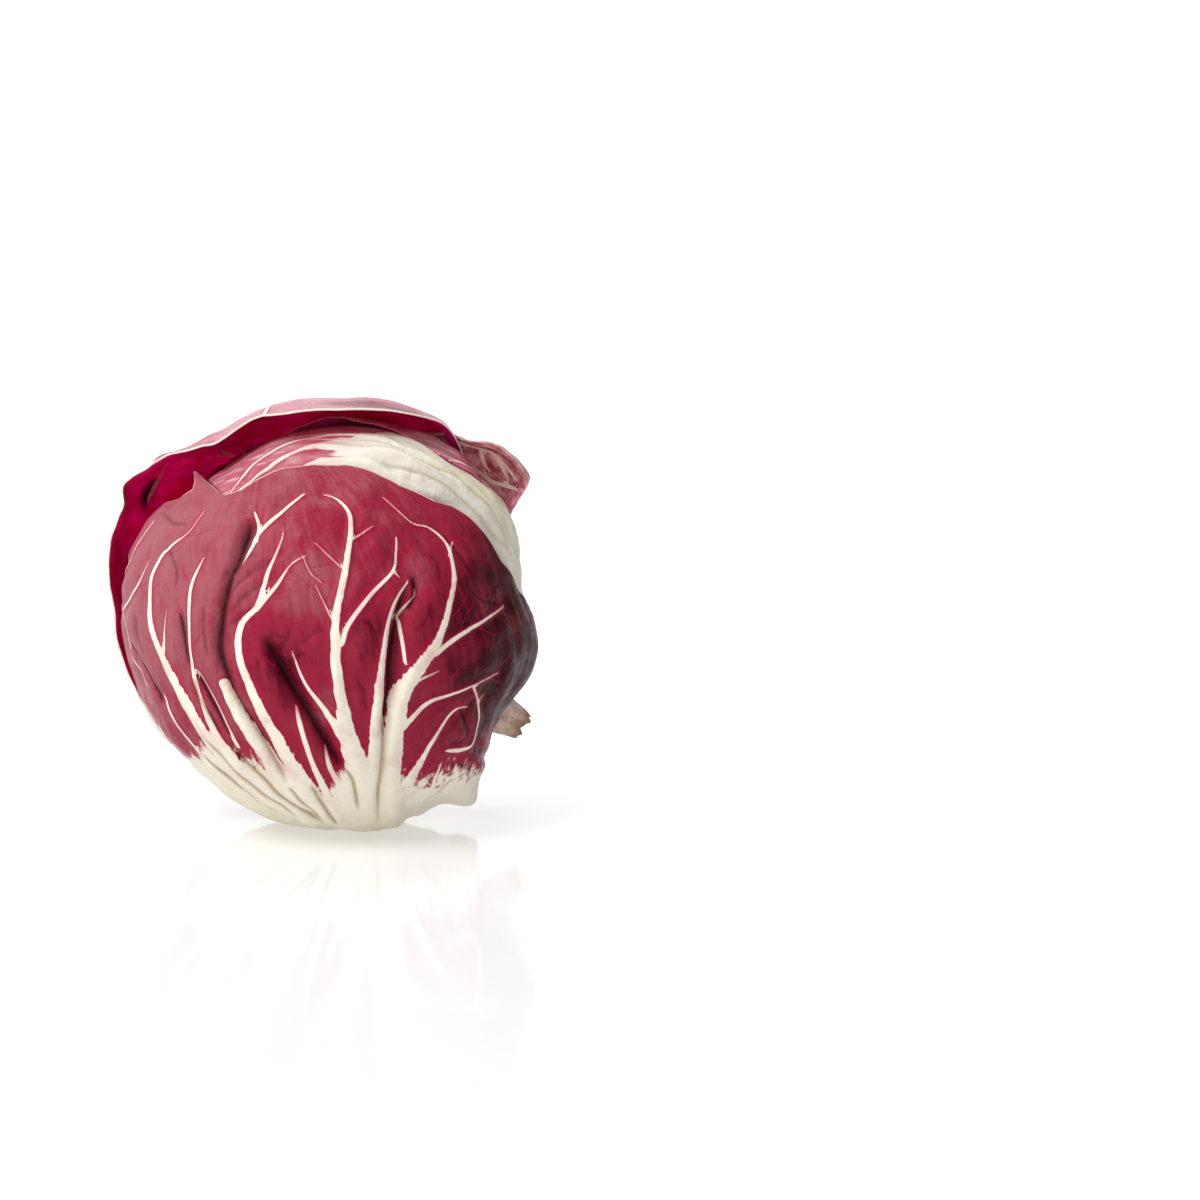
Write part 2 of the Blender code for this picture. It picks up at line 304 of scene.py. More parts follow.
def seen_at(x, z):
    """Direction from the head's centre to the spot of its round face seen at (x, z) mm from the centre."""
    spot = CENTRE + MM * (x * RIGHT + z * TOP)
    line = unit(spot - EYE)
    middle = (CENTRE - EYE) @ line
    nearest = EYE + middle * line
    miss = np.linalg.norm(nearest - CENTRE) / MM
    if miss < RADIUS:
        nearest = nearest - line * MM * math.sqrt(RADIUS ** 2 - miss ** 2)
        return unit(nearest - CENTRE)
    over = (miss - RADIUS) / RADIUS
    return math.cos(over) * unit(nearest - CENTRE) + math.sin(over) * line


head_radius_at = ring(HEAD_OUTLINE)


def head_shape(directions):
    """Radius of the head in mm: a ball at the front and back that meets the outline seen from the front."""
    turn, away = angles_about(directions, FRONT)
    share = np.sin(np.radians(away)) ** 4
    return RADIUS + (head_radius_at(turn) - RADIUS) * share


def smooth_line(points):
    """Catmull-Rom curve through rows of numbers."""
    rows = np.array([points[0], *points, points[-1]], float)
    rows[0] = 2 * rows[1] - rows[2]
    rows[-1] = 2 * rows[-2] - rows[-3]
    result = []
    for a, b, c, d in zip(rows, rows[1:], rows[2:], rows[3:]):
        for share in np.arange(LINE_STEPS) / LINE_STEPS:
            result.append(0.5 * (2 * b + (c - a) * share + (2 * a - 5 * b + 4 * c - d) * share ** 2
                                 + (3 * b - a - 3 * c + d) * share ** 3))
    result.append(rows[-2])
    return np.array(result)


def lay_line(points):
    """A line of (x, z, width) as seen from the front, laid on the ball: points and half widths in mm."""
    line = smooth_line(points)
    spots = np.array([seen_at(x, z) * RADIUS for x, z in line[:, :2]])
    return spots, np.maximum(line[:, 2], 0.0) / 2.0


def near_line(spots, line, reach):
    """For the spots near a line: their indices, distance, half width there, side and share along it."""
    points, halves = line
    low, high = points.min(axis=0) - reach, points.max(axis=0) + reach
    near = np.flatnonzero(np.all((spots > low) & (spots < high), axis=1))
    best = np.full(len(near), 1e9)
    half, side, along = np.zeros(len(near)), np.zeros(len(near)), np.zeros(len(near))
    chosen = spots[near]
    count = len(points) - 1
    for index in range(count):
        start, step = points[index], points[index + 1] - points[index]
        length = max(step @ step, 1e-9)
        raw = (chosen - start) @ step / length
        share = np.clip(raw, 0.0, 1.0)
        offset = chosen - start - share[:, None] * step
        distance = np.linalg.norm(offset, axis=1)
        closer = distance < best
        best = np.where(closer, distance, best)
        half = np.where(closer, halves[index] + (halves[index + 1] - halves[index]) * share, half)
        turned = np.cross(step, offset) @ (start / RADIUS)
        side = np.where(closer, -np.sign(turned), side)
        along = np.where(closer, (index + share) / count, along)
    keep = best < reach
    return near[keep], best[keep], half[keep], side[keep], along[keep]


def lay_ribs(spots, lines):
    """Rib fields over spots.

    Gives the mm inside the nearest rib's edge (negative outside), the distance from its middle line
    with a sign for the side, its half width there, and the height of the ribs.
    """
    inside = np.full(len(spots), -RIB_REACH)
    across = np.full(len(spots), RIB_REACH)
    halves = np.zeros(len(spots))
    height = np.zeros(len(spots))
    for line in lines:
        near, distance, half, side, _ = near_line(spots, line, RIB_REACH)
        nearer = half - distance > inside[near]
        chosen = near[nearer]
        inside[chosen] = (half - distance)[nearer]
        across[chosen] = (side * distance)[nearer]
        halves[chosen] = half[nearer]
        swell = np.minimum(0.25 + 0.55 * half, 1.7)
        dome = (1.0 - np.clip(distance / (half * 1.5 + 0.6), 0.0, 1.0) ** 2) ** 1.4
        height[near] = np.maximum(height[near], swell * dome)
    return {"white": inside, "across": across, "half": halves}, height


def grow_veins(lines, spacing, length, seed):
    """Fine veins that leave the ribs at a slant on both sides and bend forward, as lines on the ball."""
    random = np.random.default_rng(seed)
    veins = []
    for points, _ in lines:
        steps = np.linalg.norm(np.diff(points, axis=0), axis=1)
        travelled = np.concatenate([[0.0], np.cumsum(steps)])
        way = 1.0
        for start in np.arange(spacing * 0.7, travelled[-1], spacing):
            way = -way
            mark = start + random.uniform(0.0, spacing * 0.5)
            spot = min(int(np.searchsorted(travelled, mark)), len(steps) - 1)
            forward = unit(points[spot + 1] - points[spot])
            sideways = np.cross(unit(points[spot]), forward) * way
            slant = math.radians(VEIN_SLANT + random.uniform(-12.0, 12.0))
            reach = length * random.uniform(0.5, 1.2)
            wave = random.uniform(0.0, 6.28)
            spots = [points[spot]]
            for step in range(12):
                part = step / 12.0
                angle = slant * (1.0 - 0.65 * part) + 0.16 * math.sin(wave + 4.0 * part)
                heading = math.cos(angle) * forward + math.sin(angle) * sideways
                spots.append(unit(spots[-1] + heading * reach / 12.0) * RADIUS)
            veins.append((np.array(spots), np.linspace(0.13, 0.04, 13)))
    return veins


def lay_veins(spots, veins):
    """Signed distance to the nearest fine vein and the shallow trench along the veins."""
    nearest = np.full(len(spots), NO_VEIN)
    across = np.full(len(spots), NO_VEIN)
    trench = np.zeros(len(spots))
    for vein in veins:
        near, distance, _, side, along = near_line(spots, vein, VEIN_REACH)
        nearer = distance < nearest[near]
        chosen = near[nearer]
        nearest[chosen] = distance[nearer]
        across[chosen] = (side * distance)[nearer]
        fade = 1.0 - 0.7 * along
        trench[near] = np.minimum(trench[near], -np.exp(-(distance / 0.9) ** 2) * fade)
    return across, trench


def lay_pleats(spots, pleats):
    """Pleat fields over spots: relief in mm, and painted shade from 0 to 1 for how deep in a fold each spot
    lies.

    On its raised side a pleat drops steeply under the leaf's edge, on the other it slopes up again.
    """
    relief = np.zeros(len(spots))
    crease = np.zeros(len(spots))
    for points, depth, lift in pleats:
        near, distance, half, side, along = near_line(spots, lay_line(points), PLEAT_REACH)
        ends = smooth_step(along, 0.0, 0.14) * smooth_step(1.0 - along, 0.0, 0.14)
        width = half + 0.30
        drop = depth * np.minimum(0.35 + 0.5 * width, 1.0)
        over = distance * side * np.sign(lift) - 0.35 * width
        steep = np.exp(-((over / (0.35 * width + 0.50)) ** 2))
        gentle = np.exp(-((over / (1.30 * width)) ** 2))
        fold = np.where(over > 0.0, steep, gentle) * ends
        relief[near] -= drop * fold
        # Painted shade: the fold is coloured darker, sharply under the raised edge and softly on the other
        # side.
        dark = np.where(over > 0.0, np.exp(-((over / (0.25 * width + 0.25)) ** 2)),
                        np.exp(-((over / (0.85 * width)) ** 2)))
        crease[near] = np.maximum(crease[near], dark * ends)
        lip = np.exp(-np.maximum(over, 0.0) / 4.0) * smooth_step(over, 0.0, 0.5 * width + 0.5)
        relief[near] += abs(lift) * lip * ends
    return relief, crease


def disc(cells):
    """A square grid rounded to a disc: each node's turn in degrees and share of the way to the rim."""
    a, b = np.meshgrid(np.linspace(-1, 1, cells + 1), np.linspace(-1, 1, cells + 1), indexing="ij")
    across, along = a * np.sqrt(1 - b * b / 2), b * np.sqrt(1 - a * a / 2)
    return np.degrees(np.arctan2(along, across)), np.hypot(across, along)


def border(cells):
    """Indices of a square grid's border nodes, in order round it."""
    index = np.arange((cells + 1) ** 2).reshape(cells + 1, cells + 1)
    return np.concatenate([index[:-1, 0], index[-1, :-1], index[:0:-1, -1], index[0, :0:-1]])


def smooth_grid(values, cells, passes):
    """Blend each node's value with its neighbours'."""
    grid = values.reshape(cells + 1, cells + 1)
    for _ in range(passes):
        wide = np.pad(grid, 1, mode="edge")
        grid = (wide[:-2, 1:-1] + 2.0 * grid + wide[2:, 1:-1]) / 4.0
        wide = np.pad(grid, 1, mode="edge")
        grid = (wide[1:-1, :-2] + 2.0 * grid + wide[1:-1, 2:]) / 4.0
    return grid.ravel()


def grid_faces(cells, start, flipped, spots):
    """Triangles of a square grid of spots, each cell split along its shorter diagonal."""
    index = np.arange((cells + 1) ** 2).reshape(cells + 1, cells + 1) + start
    quads = np.stack([index[:-1, :-1], index[1:, :-1], index[1:, 1:], index[:-1, 1:]], axis=-1)
    quads = quads.reshape(-1, 4)
    if flipped:
        quads = quads[:, ::-1]
    corners = spots[quads]
    first = np.linalg.norm(corners[:, 0] - corners[:, 2], axis=1)
    second = np.linalg.norm(corners[:, 1] - corners[:, 3], axis=1)
    shorter = (first < second)[:, None]
    one = np.where(shorter, quads[:, [0, 1, 2]], quads[:, [0, 1, 3]])
    other = np.where(shorter, quads[:, [0, 2, 3]], quads[:, [1, 2, 3]])
    return np.vstack([one, other]).tolist()


def add_object(name, data):
    thing = bpy.data.objects.new(name, data)
    bpy.context.scene.collection.objects.link(thing)
    return thing


def add_mesh(name, points, faces):
    """A smooth mesh from points in metres."""
    mesh = bpy.data.meshes.new(name)
    mesh.from_pydata(points, [], faces)
    mesh.polygons.foreach_set("use_smooth", [True] * len(mesh.polygons))
    return mesh


def rim_faces(cells, coarse, turned):
    """Faces that close a leaf between its outer border and its coarser inner border."""
    ratio = cells // coarse
    rim, inner_rim = border(cells), border(coarse) + (cells + 1) ** 2
    faces = []
    for spot in range(len(inner_rim)):
        following = (spot + 1) % len(inner_rim)
        edge = [int(rim[(spot * ratio + step) % len(rim)]) for step in range(ratio + 1)]
        loop = edge[::-1] + [int(inner_rim[spot]), int(inner_rim[following])]
        faces.append(loop[::-1] if turned else loop)
    return faces


def leaf_mesh(name, outer, inner, cells, coarse, fields, inner_fields):
    """A closed leaf from its outer and inner faces' nodes in mm from the centre, the inner face coarser.

    fields and inner_fields hold a value for each outer node; the inner nodes take those above them.
    """
    ratio = cells // coarse
    pick = np.arange((cells + 1) ** 2).reshape(cells + 1, cells + 1)[::ratio, ::ratio].ravel()
    inner = inner[pick]
    middle = (cells + 1) ** 2 // 2
    across = np.cross(outer[middle + cells + 1] - outer[middle], outer[middle + 1] - outer[middle])
    turned = across @ outer[middle] < 0
    spots = np.vstack([outer, inner])
    faces = grid_faces(cells, 0, turned, spots) + grid_faces(coarse, len(outer), not turned, spots)
    faces += rim_faces(cells, coarse, turned)
    mesh = add_mesh(name, (spots * MM + CENTRE).tolist(), faces)
    fields = dict(fields, inside=np.zeros(len(outer)))
    inner_fields = dict(fields, **inner_fields, inside=np.ones(len(outer)))
    for label, values in fields.items():
        lower = inner_fields[label][pick]
        kind = "FLOAT_VECTOR" if values.ndim == 2 else "FLOAT"
        layer = mesh.attributes.new(label, kind, "POINT")
        layer.data.foreach_set("vector" if values.ndim == 2 else "value",
                               np.concatenate([values, lower]).astype(np.float32).ravel())
    mesh.update()
    return add_object(name, mesh)


def view_place(directions):
    """Where directions' spots on the ball lie in the view, in mm right of and above the centre."""
    return directions @ RIGHT * RADIUS, directions @ TOP * RADIUS


def margin_ring(seen, hidden):
    """Reach of a leaf about the front pole: margin points seen in the view and (turn, reach) elsewhere."""
    points = []
    for x, z in seen:
        turn, away = angles_about(seen_at(x, z)[None, :], FRONT)
        points.append((float(turn[0]), float(away[0])))
    return ring(points + list(hidden), MARGIN_BLUR)


def held_up(directions, radius, clearance=0.0):
    """Radius kept above the surface the head rests on."""
    down = -directions[:, 2]
    limit = np.where(down > 0.02, (DROP - clearance) / np.maximum(down, 0.02), 1e9)
    return np.minimum(radius, limit)


def fan_place(directions, foot):
    """Coordinates that stretch along a leaf's ribs: round about the foot, squeezed along the ribs."""
    turn, away = angles_about(directions, foot)
    turn = np.radians(turn)
    across = np.sin(np.radians(np.minimum(away, 90.0))) * RADIUS
    return np.stack([np.cos(turn) * across, np.sin(turn) * across, 0.18 * away], axis=-1)


RIB_START = 7.0                          # where fanned ribs start, in degrees from the leaf's foot
RIB_POINTS = 30


def fan_ribs(foot, towards_spot, spread, count, length, width, seed):
    """Ribs that fan out from a leaf's foot, each with side veins that end short of the next rib."""
    random = np.random.default_rng(seed)
    middle, _ = angles_about(unit(np.array(towards_spot, float))[None, :], foot)
    spacing = 2.0 * spread / count
    lines = []
    for index in range(count):
        place = (index + 0.5) / count * 2.0 - 1.0
        turn = middle[0] + spread * place + random.uniform(-0.12, 0.12) * spacing
        reach = length * (1.0 - 0.22 * abs(place)) * random.uniform(0.92, 1.04)
        away = np.linspace(RIB_START, reach, RIB_POINTS)
        part = away / reach
        bend = turn + 3.0 * np.sin(part * 5.0 + seed) + 1.2 * np.sin(part * 11.0 + index)
        half = 0.5 * width * (1.0 - 0.35 * abs(place)) * (1.0 - part) ** 1.3 + 0.14
        lines.append((towards(bend, away, foot) * RADIUS, half))
        for fork in range(FORKS):
            spot = int((0.20 + 0.72 * (fork + random.uniform(0.1, 0.6)) / FORKS) * (RIB_POINTS - 1))
            way = 1.0 if (fork + index) % 2 else -1.0
            run = np.linspace(0.0, 1.0, 16)
            out = away[spot] + random.uniform(15.0, 24.0) * run
            drift = bend[spot] + way * 0.46 * spacing * run ** 0.8 + 1.5 * np.sin(run * 4.0 + fork)
            drift = drift - 1.5 * math.sin(fork)
            thin = (0.40 * half[spot] + 0.10) * (1.0 - run) ** 0.9 + 0.08
            lines.append((towards(drift, out, foot) * RADIUS, thin))
    return lines


def on_shell(x, z, radius_of, inside):
    """Direction of the spot of an open shell seen at (x, z), on its inner or its outer face."""
    turn = math.degrees(math.atan2(z, x))
    away = np.arange(40.0, 140.0, 0.25)
    directions = towards(np.full(len(away), turn), away, FRONT)
    radius = radius_of(directions, None)
    depth = radius * np.cos(np.radians(away)) * MM
    wide = radius * np.sin(np.radians(away)) / (DISTANCE - depth)
    reached = np.flatnonzero(wide >= min(math.hypot(x, z), wide.max() - 0.01))
    return directions[reached[-1] if inside else reached[0]]


def shell_line(points, radius_of, inside):
    """A line of (x, z, width) as seen from the front, laid on a shell's face."""
    line = smooth_line(points)
    spots = np.array([on_shell(x, z, radius_of, inside) * RADIUS for x, z in line[:, :2]])
    return spots, np.maximum(line[:, 2], 0.0) / 2.0


FRONT_MARGIN = (
    (-53, 20), (-48, 29), (-46, 32.5), (-43, 34.5), (-22.5, 38), (-17.5, 40.5), (-12.5, 43), (-4, 44),
    (5.5, 43.5), (15, 40.5), (20.5, 37.5), (29, 33), (34, 31.5), (41, 25.5), (48, 17), (54, 9),
)
TORN_TIP = 129.5                         # where the margin is torn into a tip
FRONT_HIDDEN = (
    (137, 71), (134, 68), (131.5, 70), (130.5, 74), (TORN_TIP, 78), (129, 72), (128.8, 60), (127.5, 53),
    (0, 90), (-6, 96), (-14, 103), (-22, 107), (-38, 106),
    (-50, 97), (-60, 104), (-100, 106), (-135, 100),
    (-155, 98), (-175, 96), (175, 92), (163, 80),
)
STALK_WIDTH = 15.0
STALK_END = 8.0                          # where leaves end beside the stem, in degrees from its axis


def with_stalk(reach, pole, width=STALK_WIDTH):
    """Reach of a leaf with a lobe that runs to the stem."""
    turn, away = angles_about(STEM_AXIS[None, :], pole)

    def lobed(angle):
        lobe = hump(turn_between(angle, turn[0]), width)
        plain = reach(angle)
        return plain + (away[0] - STALK_END - plain) * lobe
    return lobed


def build_leaf(name, pole, reach, radius_of, detail_of, cells, coarse, thickness, depth, clearance=0.0,
               inner_detail=None):
    """A leaf spread about a pole: its mesh object with all fields for its material."""
    turn, share = (values.ravel() for values in disc(cells))
    grid = np.arange(0.0, 360.0, 1.0)
    broad = ring(list(zip(grid.tolist(), reach(grid).tolist())), 9.0)
    away = broad(turn) * share + (reach(turn) - broad(turn)) * share ** 7
    directions = towards(turn, away, pole)
    rim = (reach(turn) - away) * DEGREE
    base = radius_of(directions, rim)
    relief, fields = detail_of(directions, rim)
    relief = smooth_grid(relief, cells, 3)
    outer = held_up(directions, base + relief, clearance)
    near_rim = 1.0 - smooth_step(rim, 0.0, 7.0)
    deep = base + relief * near_rim - (thickness + depth) * (1.0 - near_rim) - 0.45 * near_rim
    inner = np.minimum(deep, outer - 0.4)
    fields = dict(fields, rim=rim)
    inner_fields = inner_detail(directions, rim) if inner_detail else {}
    return leaf_mesh(name, outer[:, None] * directions, inner[:, None] * directions, cells, coarse, fields,
                     inner_fields)


def front_base(directions):
    """Mm inside the white base of the front leaf."""
    x, z = view_place(directions)
    _, away = angles_about(directions, FRONT)
    xs, zs = zip(*WHITE_LINE)
    front = np.interp(x, xs, zs) - z
    low = 34.0 - np.degrees(np.arccos(np.clip(directions @ LEAF_FOOT, -1.0, 1.0)))
    by_stem = 19.0 - np.degrees(np.arccos(np.clip(directions @ STEM_AXIS, -1.0, 1.0)))
    hidden = np.maximum(low, by_stem)
    blend = smooth_step(away, 90.0, 106.0)
    return front * (1.0 - blend) + hidden * blend


# Shallow wrinkles of the front leaf as seen from the front: (right, up, width).
WRINKLES = (
    ((-27.0, 8.0, 0.6), (-21.0, 13.5, 0.9), (-14.5, 18.0, 0.8), (-11.0, 21.5, 0.4)),
    ((-26.4, 3.5, 0.6), (-20.2, 9.0, 0.8), (-14.0, 12.8, 0.4)),
    ((-26.9, -0.6, 0.6), (-22.8, 2.8, 0.8), (-17.2, 5.6, 0.4)),
    ((-27.8, 12.6, 0.5), (-23.6, 17.6, 0.8), (-19.0, 19.9, 0.4)),
    ((-17.2, -4.2, 0.5), (-13.6, -2.8, 0.8), (-10.4, -3.7, 0.4)),
    ((-15.4, -8.2, 0.5), (-11.8, -5.6, 0.8), (-9.0, -0.2, 0.4)),
    ((-11.8, -14.8, 0.5), (-8.2, -9.2, 0.9), (-4.4, -7.5, 0.4)),
    ((-7.2, -6.0, 0.4), (-3.0, -2.0, 0.8), (0.6, -1.0, 0.4)),
    ((32.0, 24.8, 0.5), (37.2, 17.6, 1.1), (41.8, 11.2, 0.5)),
    ((28.0, 19.6, 0.4), (30.6, 16.4, 0.8), (31.4, 11.0, 0.4)),
    ((37.6, 12.0, 0.4), (42.0, 7.4, 0.8), (47.6, 5.6, 0.4)),
    ((24.0, -2.0, 0.4), (27.2, 1.4, 0.7), (29.0, 6.4, 0.4)),
    ((9.8, 2.0, 0.4), (13.6, -1.6, 0.8), (15.0, -7.4, 0.4)),
    ((8.2, -14.2, 0.4), (10.8, -18.6, 0.8), (11.6, -24.4, 0.4)),
    ((33.0, -29.4, 0.5), (34.6, -32.0, 0.9), (38.4, -31.0, 0.5)),
    ((31.0, -37.6, 0.5), (35.2, -37.0, 1.0), (39.6, -38.4, 0.5)),
    ((-44.8, 31.0, 0.5), (-41.0, 27.6, 0.9), (-37.6, 27.8, 0.5)),
    ((-43.4, 22.0, 0.4), (-40.4, 15.6, 0.8), (-40.6, 9.0, 0.4)),
    ((-51.6, 3.0, 0.4), (-51.8, -3.0, 0.8), (-49.6, -9.0, 0.4)),
    ((-33.0, 6.0, 0.4), (-32.6, -2.0, 0.9), (-31.4, -9.0, 0.4)),
)
WRINKLE_DEPTH, WRINKLE_LIFT = 0.75, 0.45
WRINKLE_SHADE = 0.45                     # how dark a wrinkle is beside a fold

# Patches of painted shade (darker) and painted sheen (paler) on the front leaf as seen from the front:
# (right, up, radius, how much darker).
FRONT_PAINTED_LIGHT_PATCHES = (
    (-10, -6, 10, 0.40), (-6, -16, 8, 0.30), (15, -2, 9, 0.34), (4, 9, 9, -0.30), (12, 24, 8, 0.12),
    (2, -22, 7, -0.20), (36, 4, 9, 0.14), (44, -14, 8, 0.20), (-38, -20, 9, 0.20), (28, 16, 7, -0.10),
)


def front_detail(directions, rim):
    """Relief and fields of the front leaf; it is darker at the right and redder low down, partly its own
    colour and partly painted shade, and paler at the upper left, partly painted sheen.
    """
    spots = directions * RADIUS
    x, z = view_place(directions)
    lines = [lay_line(points) for points in FRONT_RIBS.values()]
    fields, height = lay_ribs(spots, lines)
    veins, trench = lay_veins(spots, grow_veins(lines, spacing=5.0, length=10.0, seed=7))
    pleats = [(FRONT_PLEATS[label], depth, lift) for label, (depth, lift) in PLEAT_DEPTHS.items()]
    relief, crease = lay_pleats(spots, pleats)
    # The wrinkles also add painted shade beside their folds.
    folds, wrinkle_painted_shade = lay_pleats(spots, [(points, WRINKLE_DEPTH, WRINKLE_LIFT) for points in WRINKLES])
    relief, crease = relief + folds, np.maximum(crease, WRINKLE_SHADE * wrinkle_painted_shade)
    base = front_base(directions)
    fan = fan_place(directions, LEAF_FOOT)
    outside = smooth_step(-fields["white"], 0.3, 5.0)
    blade = 1.0 - smooth_step(base, -4.0, 6.0)
    smoother_top = 1.0 - 0.8 * smooth_step(z, 10.0, 34.0)
    wrinkles = 0.42 * noise(fan, 4.4, 1) + 0.20 * noise(fan, 2.0, 2) * smoother_top
    waves = 0.75 * noise(spots, 14.0, 3) + 0.35 * noise(spots, 6.5, 4)
    quilt = (0.75 * outside + 0.32 * trench * outside) * blade
    ridges = 0.6 * noise(fan, 3.2, 5) * (1.0 - blade)
    relief = relief + height * (1.0 - 0.25 * (1.0 - blade)) + quilt + wrinkles + waves + ridges - 0.4
    # Tone placed by direction over the leaf's own colour: paler toward the lit upper left as painted sheen,
    # darker toward the right and lower down as painted shade.
    tone = 0.42 + 0.0095 * np.minimum(x, 0.0) - 0.0025 * z + 0.52 * smooth_step(x, 22.0, 56.0)
    tone = tone + 0.10 * noise(spots, 9.0, 6)
    # Painted light and shade: each patch darkens or pales the tone.
    for across, up, size, darker in FRONT_PAINTED_LIGHT_PATCHES:
        tone = tone + darker * hump(np.hypot(x - across, z - up), size)
    fields.update(base=base, crease=crease, tone=np.clip(tone, 0.0, 1.0), fan=fan, veins=veins)
    return relief, fields


def front_radius(directions, rim):
    """The head's face, lifted at the leaf's lower right flap and at its torn tip."""
    turn, away = angles_about(directions, FRONT)
    flap = 4.2 * hump(turn_between(turn, -51.0), 4.5) * smooth_step(away, 66.0, 88.0)
    tip = 3.0 * hump(turn_between(turn, TORN_TIP + 0.6), 4.0) * smooth_step(away, 60.0, 80.0)
    return head_shape(directions) + flap + tip


# Depth of each pleat and how far the leaf stands up beside it, on its left if above 0, in mm.
PLEAT_DEPTHS = {
    "strip_fold": (3.0, 1.6), "lobe_gap": (3.4, 1.7), "lobe_crease": (1.5, 0.5), "seam": (3.0, 0.9),
    "pocket": (2.0, 0.6), "wedge": (2.0, 1.0), "fold_a": (2.0, 0.9), "fold_b": (1.3, 0.6),
    "edge_wedge": (1.8, 0.8), "right_fold": (2.2, 0.9), "lobe_corner": (2.0, 0.8), "base_a": (1.6, 0.6),
    "base_b": (1.7, 0.6), "base_c": (1.8, 0.6), "base_d": (1.5, 0.5), "base_e": (2.0, 0.6),
    "base_f": (1.8, 0.5), "base_g": (1.5, 0.5),
}


def crown_radius(directions, rim):
    """The head's face, sunk where the crown leaf runs under the front leaf."""
    turn, away = angles_about(directions, FRONT)
    beyond = (away - front_reach(turn)) * DEGREE
    return head_shape(directions) - CROWN_SINK * (1.0 - smooth_step(beyond, 0.0, 16.0))


CROWN_SINK = 2.6
CROWN_FOOT = seen_at(57.0, -4.0)         # where the crown leaf's ribs meet
front_reach = margin_ring(FRONT_MARGIN, FRONT_HIDDEN)


def crown_detail(directions, rim):
    """Relief and fields of the crown leaf: cream, with red streaks at the left and along the front leaf."""
    spots = directions * RADIUS
    x, z = view_place(directions)
    fields, height = lay_ribs(spots, [lay_line(points) for points in CROWN_RIBS.values()])
    pleats = [(points, 1.3, 0.4) for points in CROWN_PLEATS.values()]
    relief, crease = lay_pleats(spots, pleats)
    turn, away = angles_about(directions, FRONT)
    gap = (away - front_reach(turn)) * DEGREE
    base = (x - 5.0) * 0.55 + 2.0 * noise(spots, 5.0, 15)
    base = np.minimum(base, 1.2 * (gap - 1.6 + 2.2 * noise(spots, 2.6, 16)) + 0.06 * (x - 10.0))
    streak = np.interp(x, (-4.0, 2.0, 19.0, 24.0), (0.0, 1.0, 1.0, 0.0)) * smooth_step(z, 51.2, 52.8)
    base = base - 14.0 * streak * smooth_step(noise(fan_place(directions, CROWN_FOOT), 2.0, 17), -0.4, 0.3)
    base = base - 5.0 * smooth_step(away, 90.0, 100.0)
    fan = fan_place(directions, CROWN_FOOT)
    soft = 0.45 * noise(spots, 12.0, 11) + 0.55 * noise(fan, 3.6, 12) + 0.22 * noise(fan, 1.5, 13)
    cross = 0.35 * noise(spots, 2.6, 18) * hump(gap - 5.0, 6.0)
    fade = smooth_step(rim, 0.0, 4.0)
    relief = (relief + 1.2 * height + soft + cross) * (0.3 + 0.7 * fade) * smooth_step(gap, -2.0, 7.0)
    tone = np.clip(0.45 + 0.25 * noise(fan, 3.0, 14) - 0.004 * x, 0.0, 1.0)
    # The crown's folds get a lighter painted shade.
    fields.update(base=base, crease=0.55 * crease, tone=tone, fan=fan, veins=np.full(len(spots), NO_VEIN))
    return relief, fields


SHOULDER_OUTLINE = ring((
    (20, 57), (41, 58.5), (49.5, 60.5), (62, 59.5), (78, 57.5),
    (95, 55.5), (110, 54), (200, 57), (300, 57),
))


def shoulder_radius(directions, rim):
    """A little above the crown leaf, rising behind it to its own outline."""
    turn, away = angles_about(directions, FRONT)
    crown = head_shape(directions) + 0.7
    lifted = 57.2 + (SHOULDER_OUTLINE(turn) - 57.2) * (1.0 - smooth_step(away, 98.0, 120.0))
    rise = smooth_step(away, 76.0, 93.0)
    return crown + (lifted - crown) * rise


def plain_detail(foot, lines, seed, relief_share, base_reach, tone_middle):
    """Relief and fields of a leaf whose ribs fan out from a foot, pale within base_reach degrees of it."""
    def detail(directions, rim):
        spots = directions * RADIUS
        fields, height = lay_ribs(spots, lines)
        veins, trench = lay_veins(spots, grow_veins(lines, 6.0, 10.0, seed + 6))
        _, away = angles_about(directions, foot)
        fan = fan_place(directions, foot)
        outside = smooth_step(-fields["white"], 0.4, 4.0)
        base = base_reach - away + 4.0 * noise(fan, 5.0, seed + 5)
        relief = 0.9 * height + (0.6 + 0.25 * trench) * outside + 0.5 * noise(fan, 3.8, seed)
        relief = relief + 0.9 * noise(spots, 13.0, seed + 1) + 0.4 * noise(spots, 5.5, seed + 2) - 0.4
        tone = np.clip(tone_middle + 0.18 * noise(spots, 11.0, seed + 3), 0.0, 1.0)
        # Painted shade in the troughs of the noise that also lowers the relief.
        crease = smooth_step(-noise(fan, 3.8, seed), 0.45, 0.9) * 0.5
        fields.update(base=base, crease=crease, tone=tone, fan=fan, veins=veins)
        return relief * relief_share, fields
    return detail


HOOD_OUTLINE = (
    (-150, 53.5), (-163, 55), (-175, 56.5), (176, 57), (169, 59.5), (158, 62.5), (148.5, 63.5), (145, 67),
    (141.5, 66), (138, 64), (133, 63.5), (128, 61), (117, 60),
    (103, 61.5), (83, 62.5), (67, 63.5), (59, 64),
    (51, 61), (42, 58.5), (20, 58), (0, 58), (-40, 57.5), (-90, 56.5), (-125, 53.5), (-140, 53),
)
hood_height = ring(HOOD_OUTLINE, 1.5)
